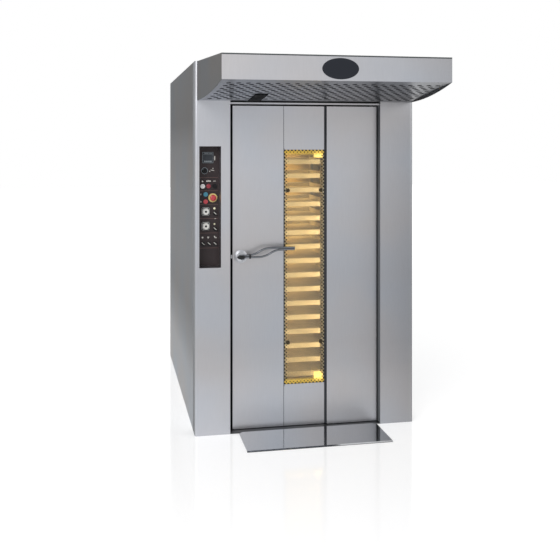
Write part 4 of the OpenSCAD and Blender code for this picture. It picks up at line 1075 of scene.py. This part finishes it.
class OVEN_OT_stage(bpy.types.Operator):
    """Set up the floor, the light and the camera of the photograph"""
    bl_idname = "oven.stage"
    bl_label = "Studio"
    bl_options = {"REGISTER", "UNDO"}

    def execute(self, context):
        context.scene.view_settings.view_transform = "Standard"
        self.room(context.scene)
        self.floor(context.scene)
        self.lights()
        self.camera(context.scene)
        return {"FINISHED"}

    def room(self, scene):
        # white room: seen as plain white, and lighting the oven a little less than that
        world = bpy.data.worlds.new("studio_room")
        world.use_nodes = True
        tree = world.node_tree
        tree.nodes.clear()
        direct = seen(tree, "Is Camera Ray", "Is Glossy Ray", "Is Transmission Ray")
        power = put(tree, "ShaderNodeMapRange", {"Value": direct}, in_3=0.6, in_4=1.0)
        sky = put(tree, "ShaderNodeBackground", {"Strength": power.outputs[0]},
                  in_Color=(1, 1, 1, 1))
        put(tree, "ShaderNodeOutputWorld", {"Surface": sky.outputs[0]})
        scene.world = world

    def floor(self, scene):
        bm = bmesh.new()
        bmesh.ops.create_grid(bm, x_segments=1, y_segments=1, size=30.0)
        mesh = bpy.data.meshes.new("studio_floor")
        bm.to_mesh(mesh)
        bm.free()
        floor = bpy.data.objects.new("studio_floor", mesh)
        scene.collection.objects.link(floor)
        # Glossy white paint: it mirrors the oven faintly, and a glow lifts it to near white
        made, tree = new_material("glossy_white_floor")
        paint = put(tree, "ShaderNodeBsdfPrincipled", in_Base_Color=(0.8, 0.8, 0.8, 1),
                    in_Roughness=0.08, in_IOR=1.45)
        glow = put(tree, "ShaderNodeEmission", in_Color=(1, 1, 1, 1), in_Strength=0.36)
        dark = put(tree, "ShaderNodeEmission", in_Strength=0.0)
        lift = put(tree, "ShaderNodeMixShader",
                   {"0": seen(tree, "Is Camera Ray", "Is Glossy Ray"), "1": dark.outputs[0],
                    "2": glow.outputs[0]})
        both = put(tree, "ShaderNodeAddShader", {"0": paint.outputs[0], "1": lift.outputs[0]})
        close(tree, both.outputs[0])
        mesh.materials.append(made)
        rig.stage(floor)

    def lights(self):
        lamp("key_light", (-4.0, -6.5, 5.0), (0, -0.6, 1.2), (4.0, 3.0), 260)
        lamp("fill_light", (5.0, -5.0, 3.0), (0, -0.6, 1.0), (3.0, 3.0), 60)
        # the glow of the door's two lamps on the trays, from beside the window
        middle = 1050
        for side, glow in ((360, 6.5), (-360, 5)):
            lamp("oven_light", at(side, 200, middle), at(0, 900, middle), (0.04, 1.7), glow,
                 linear("#FFF6E6")[:3])
        # light that comes back from the chamber's rear wall
        lamp("chamber_glow", at(100, 1280, middle), at(-50, 0, middle), (0.5, 1.7), 14,
             linear("#FFE6B4")[:3])

    def camera(self, scene):
        # place, turn, lens and shift solved from the corners of the cabinet in the photograph
        view = bpy.data.cameras.new("photo_camera")
        view.sensor_width = 36.0
        view.lens = 54.51
        view.shift_y = -0.24468
        view.clip_end = 100
        camera = bpy.data.objects.new("photo_camera", view)
        camera.location = (-1.28634, -6.06572, 1.87527)
        camera.rotation_euler = (math.radians(90), 0, -0.2019)
        scene.collection.objects.link(camera)
        scene.camera = camera


OPERATORS = (OVEN_OT_stage, OVEN_OT_cabinet, OVEN_OT_hood, OVEN_OT_drives, OVEN_OT_rack,
             OVEN_OT_door, OVEN_OT_window, OVEN_OT_controls)


class OVEN_PT_panel(bpy.types.Panel):
    """Buttons and settings of the oven in the sidebar"""
    bl_idname = "OVEN_PT_panel"
    bl_label = "Rotating rack oven"
    bl_space_type = "VIEW_3D"
    bl_region_type = "UI"
    bl_category = "Oven"

    def draw(self, context):
        column = self.layout.column(align=True)
        for operator in OPERATORS:
            column.operator(operator.bl_idname)
        for group in (context.scene.oven_sizes, context.scene.oven_colours):
            for key in group.__annotations__:
                self.layout.prop(group, key)


CLASSES = (OvenSizes, OvenColours) + OPERATORS + (OVEN_PT_panel,)


def register():
    """Makes the oven's classes and settings known to Blender."""
    for item in CLASSES:
        bpy.utils.register_class(item)
    bpy.types.Scene.oven_sizes = bpy.props.PointerProperty(type=OvenSizes)
    bpy.types.Scene.oven_colours = bpy.props.PointerProperty(type=OvenColours)


def unregister():
    """Takes them away again."""
    del bpy.types.Scene.oven_colours
    del bpy.types.Scene.oven_sizes
    for item in reversed(CLASSES):
        bpy.utils.unregister_class(item)


def main():
    """Builds everything in order and writes the boxes of the CAD and of the looks."""
    register()
    for operator in OPERATORS:
        getattr(bpy.ops.oven, operator.bl_idname.split(".")[1])()
    corners = {"cad": [list(c) for c in CAD_BOX], "visual": [list(c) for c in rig.bounds()]}
    with open("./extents.json", "w") as out:
        json.dump(corners, out)


if __name__ == "__main__":
    main()
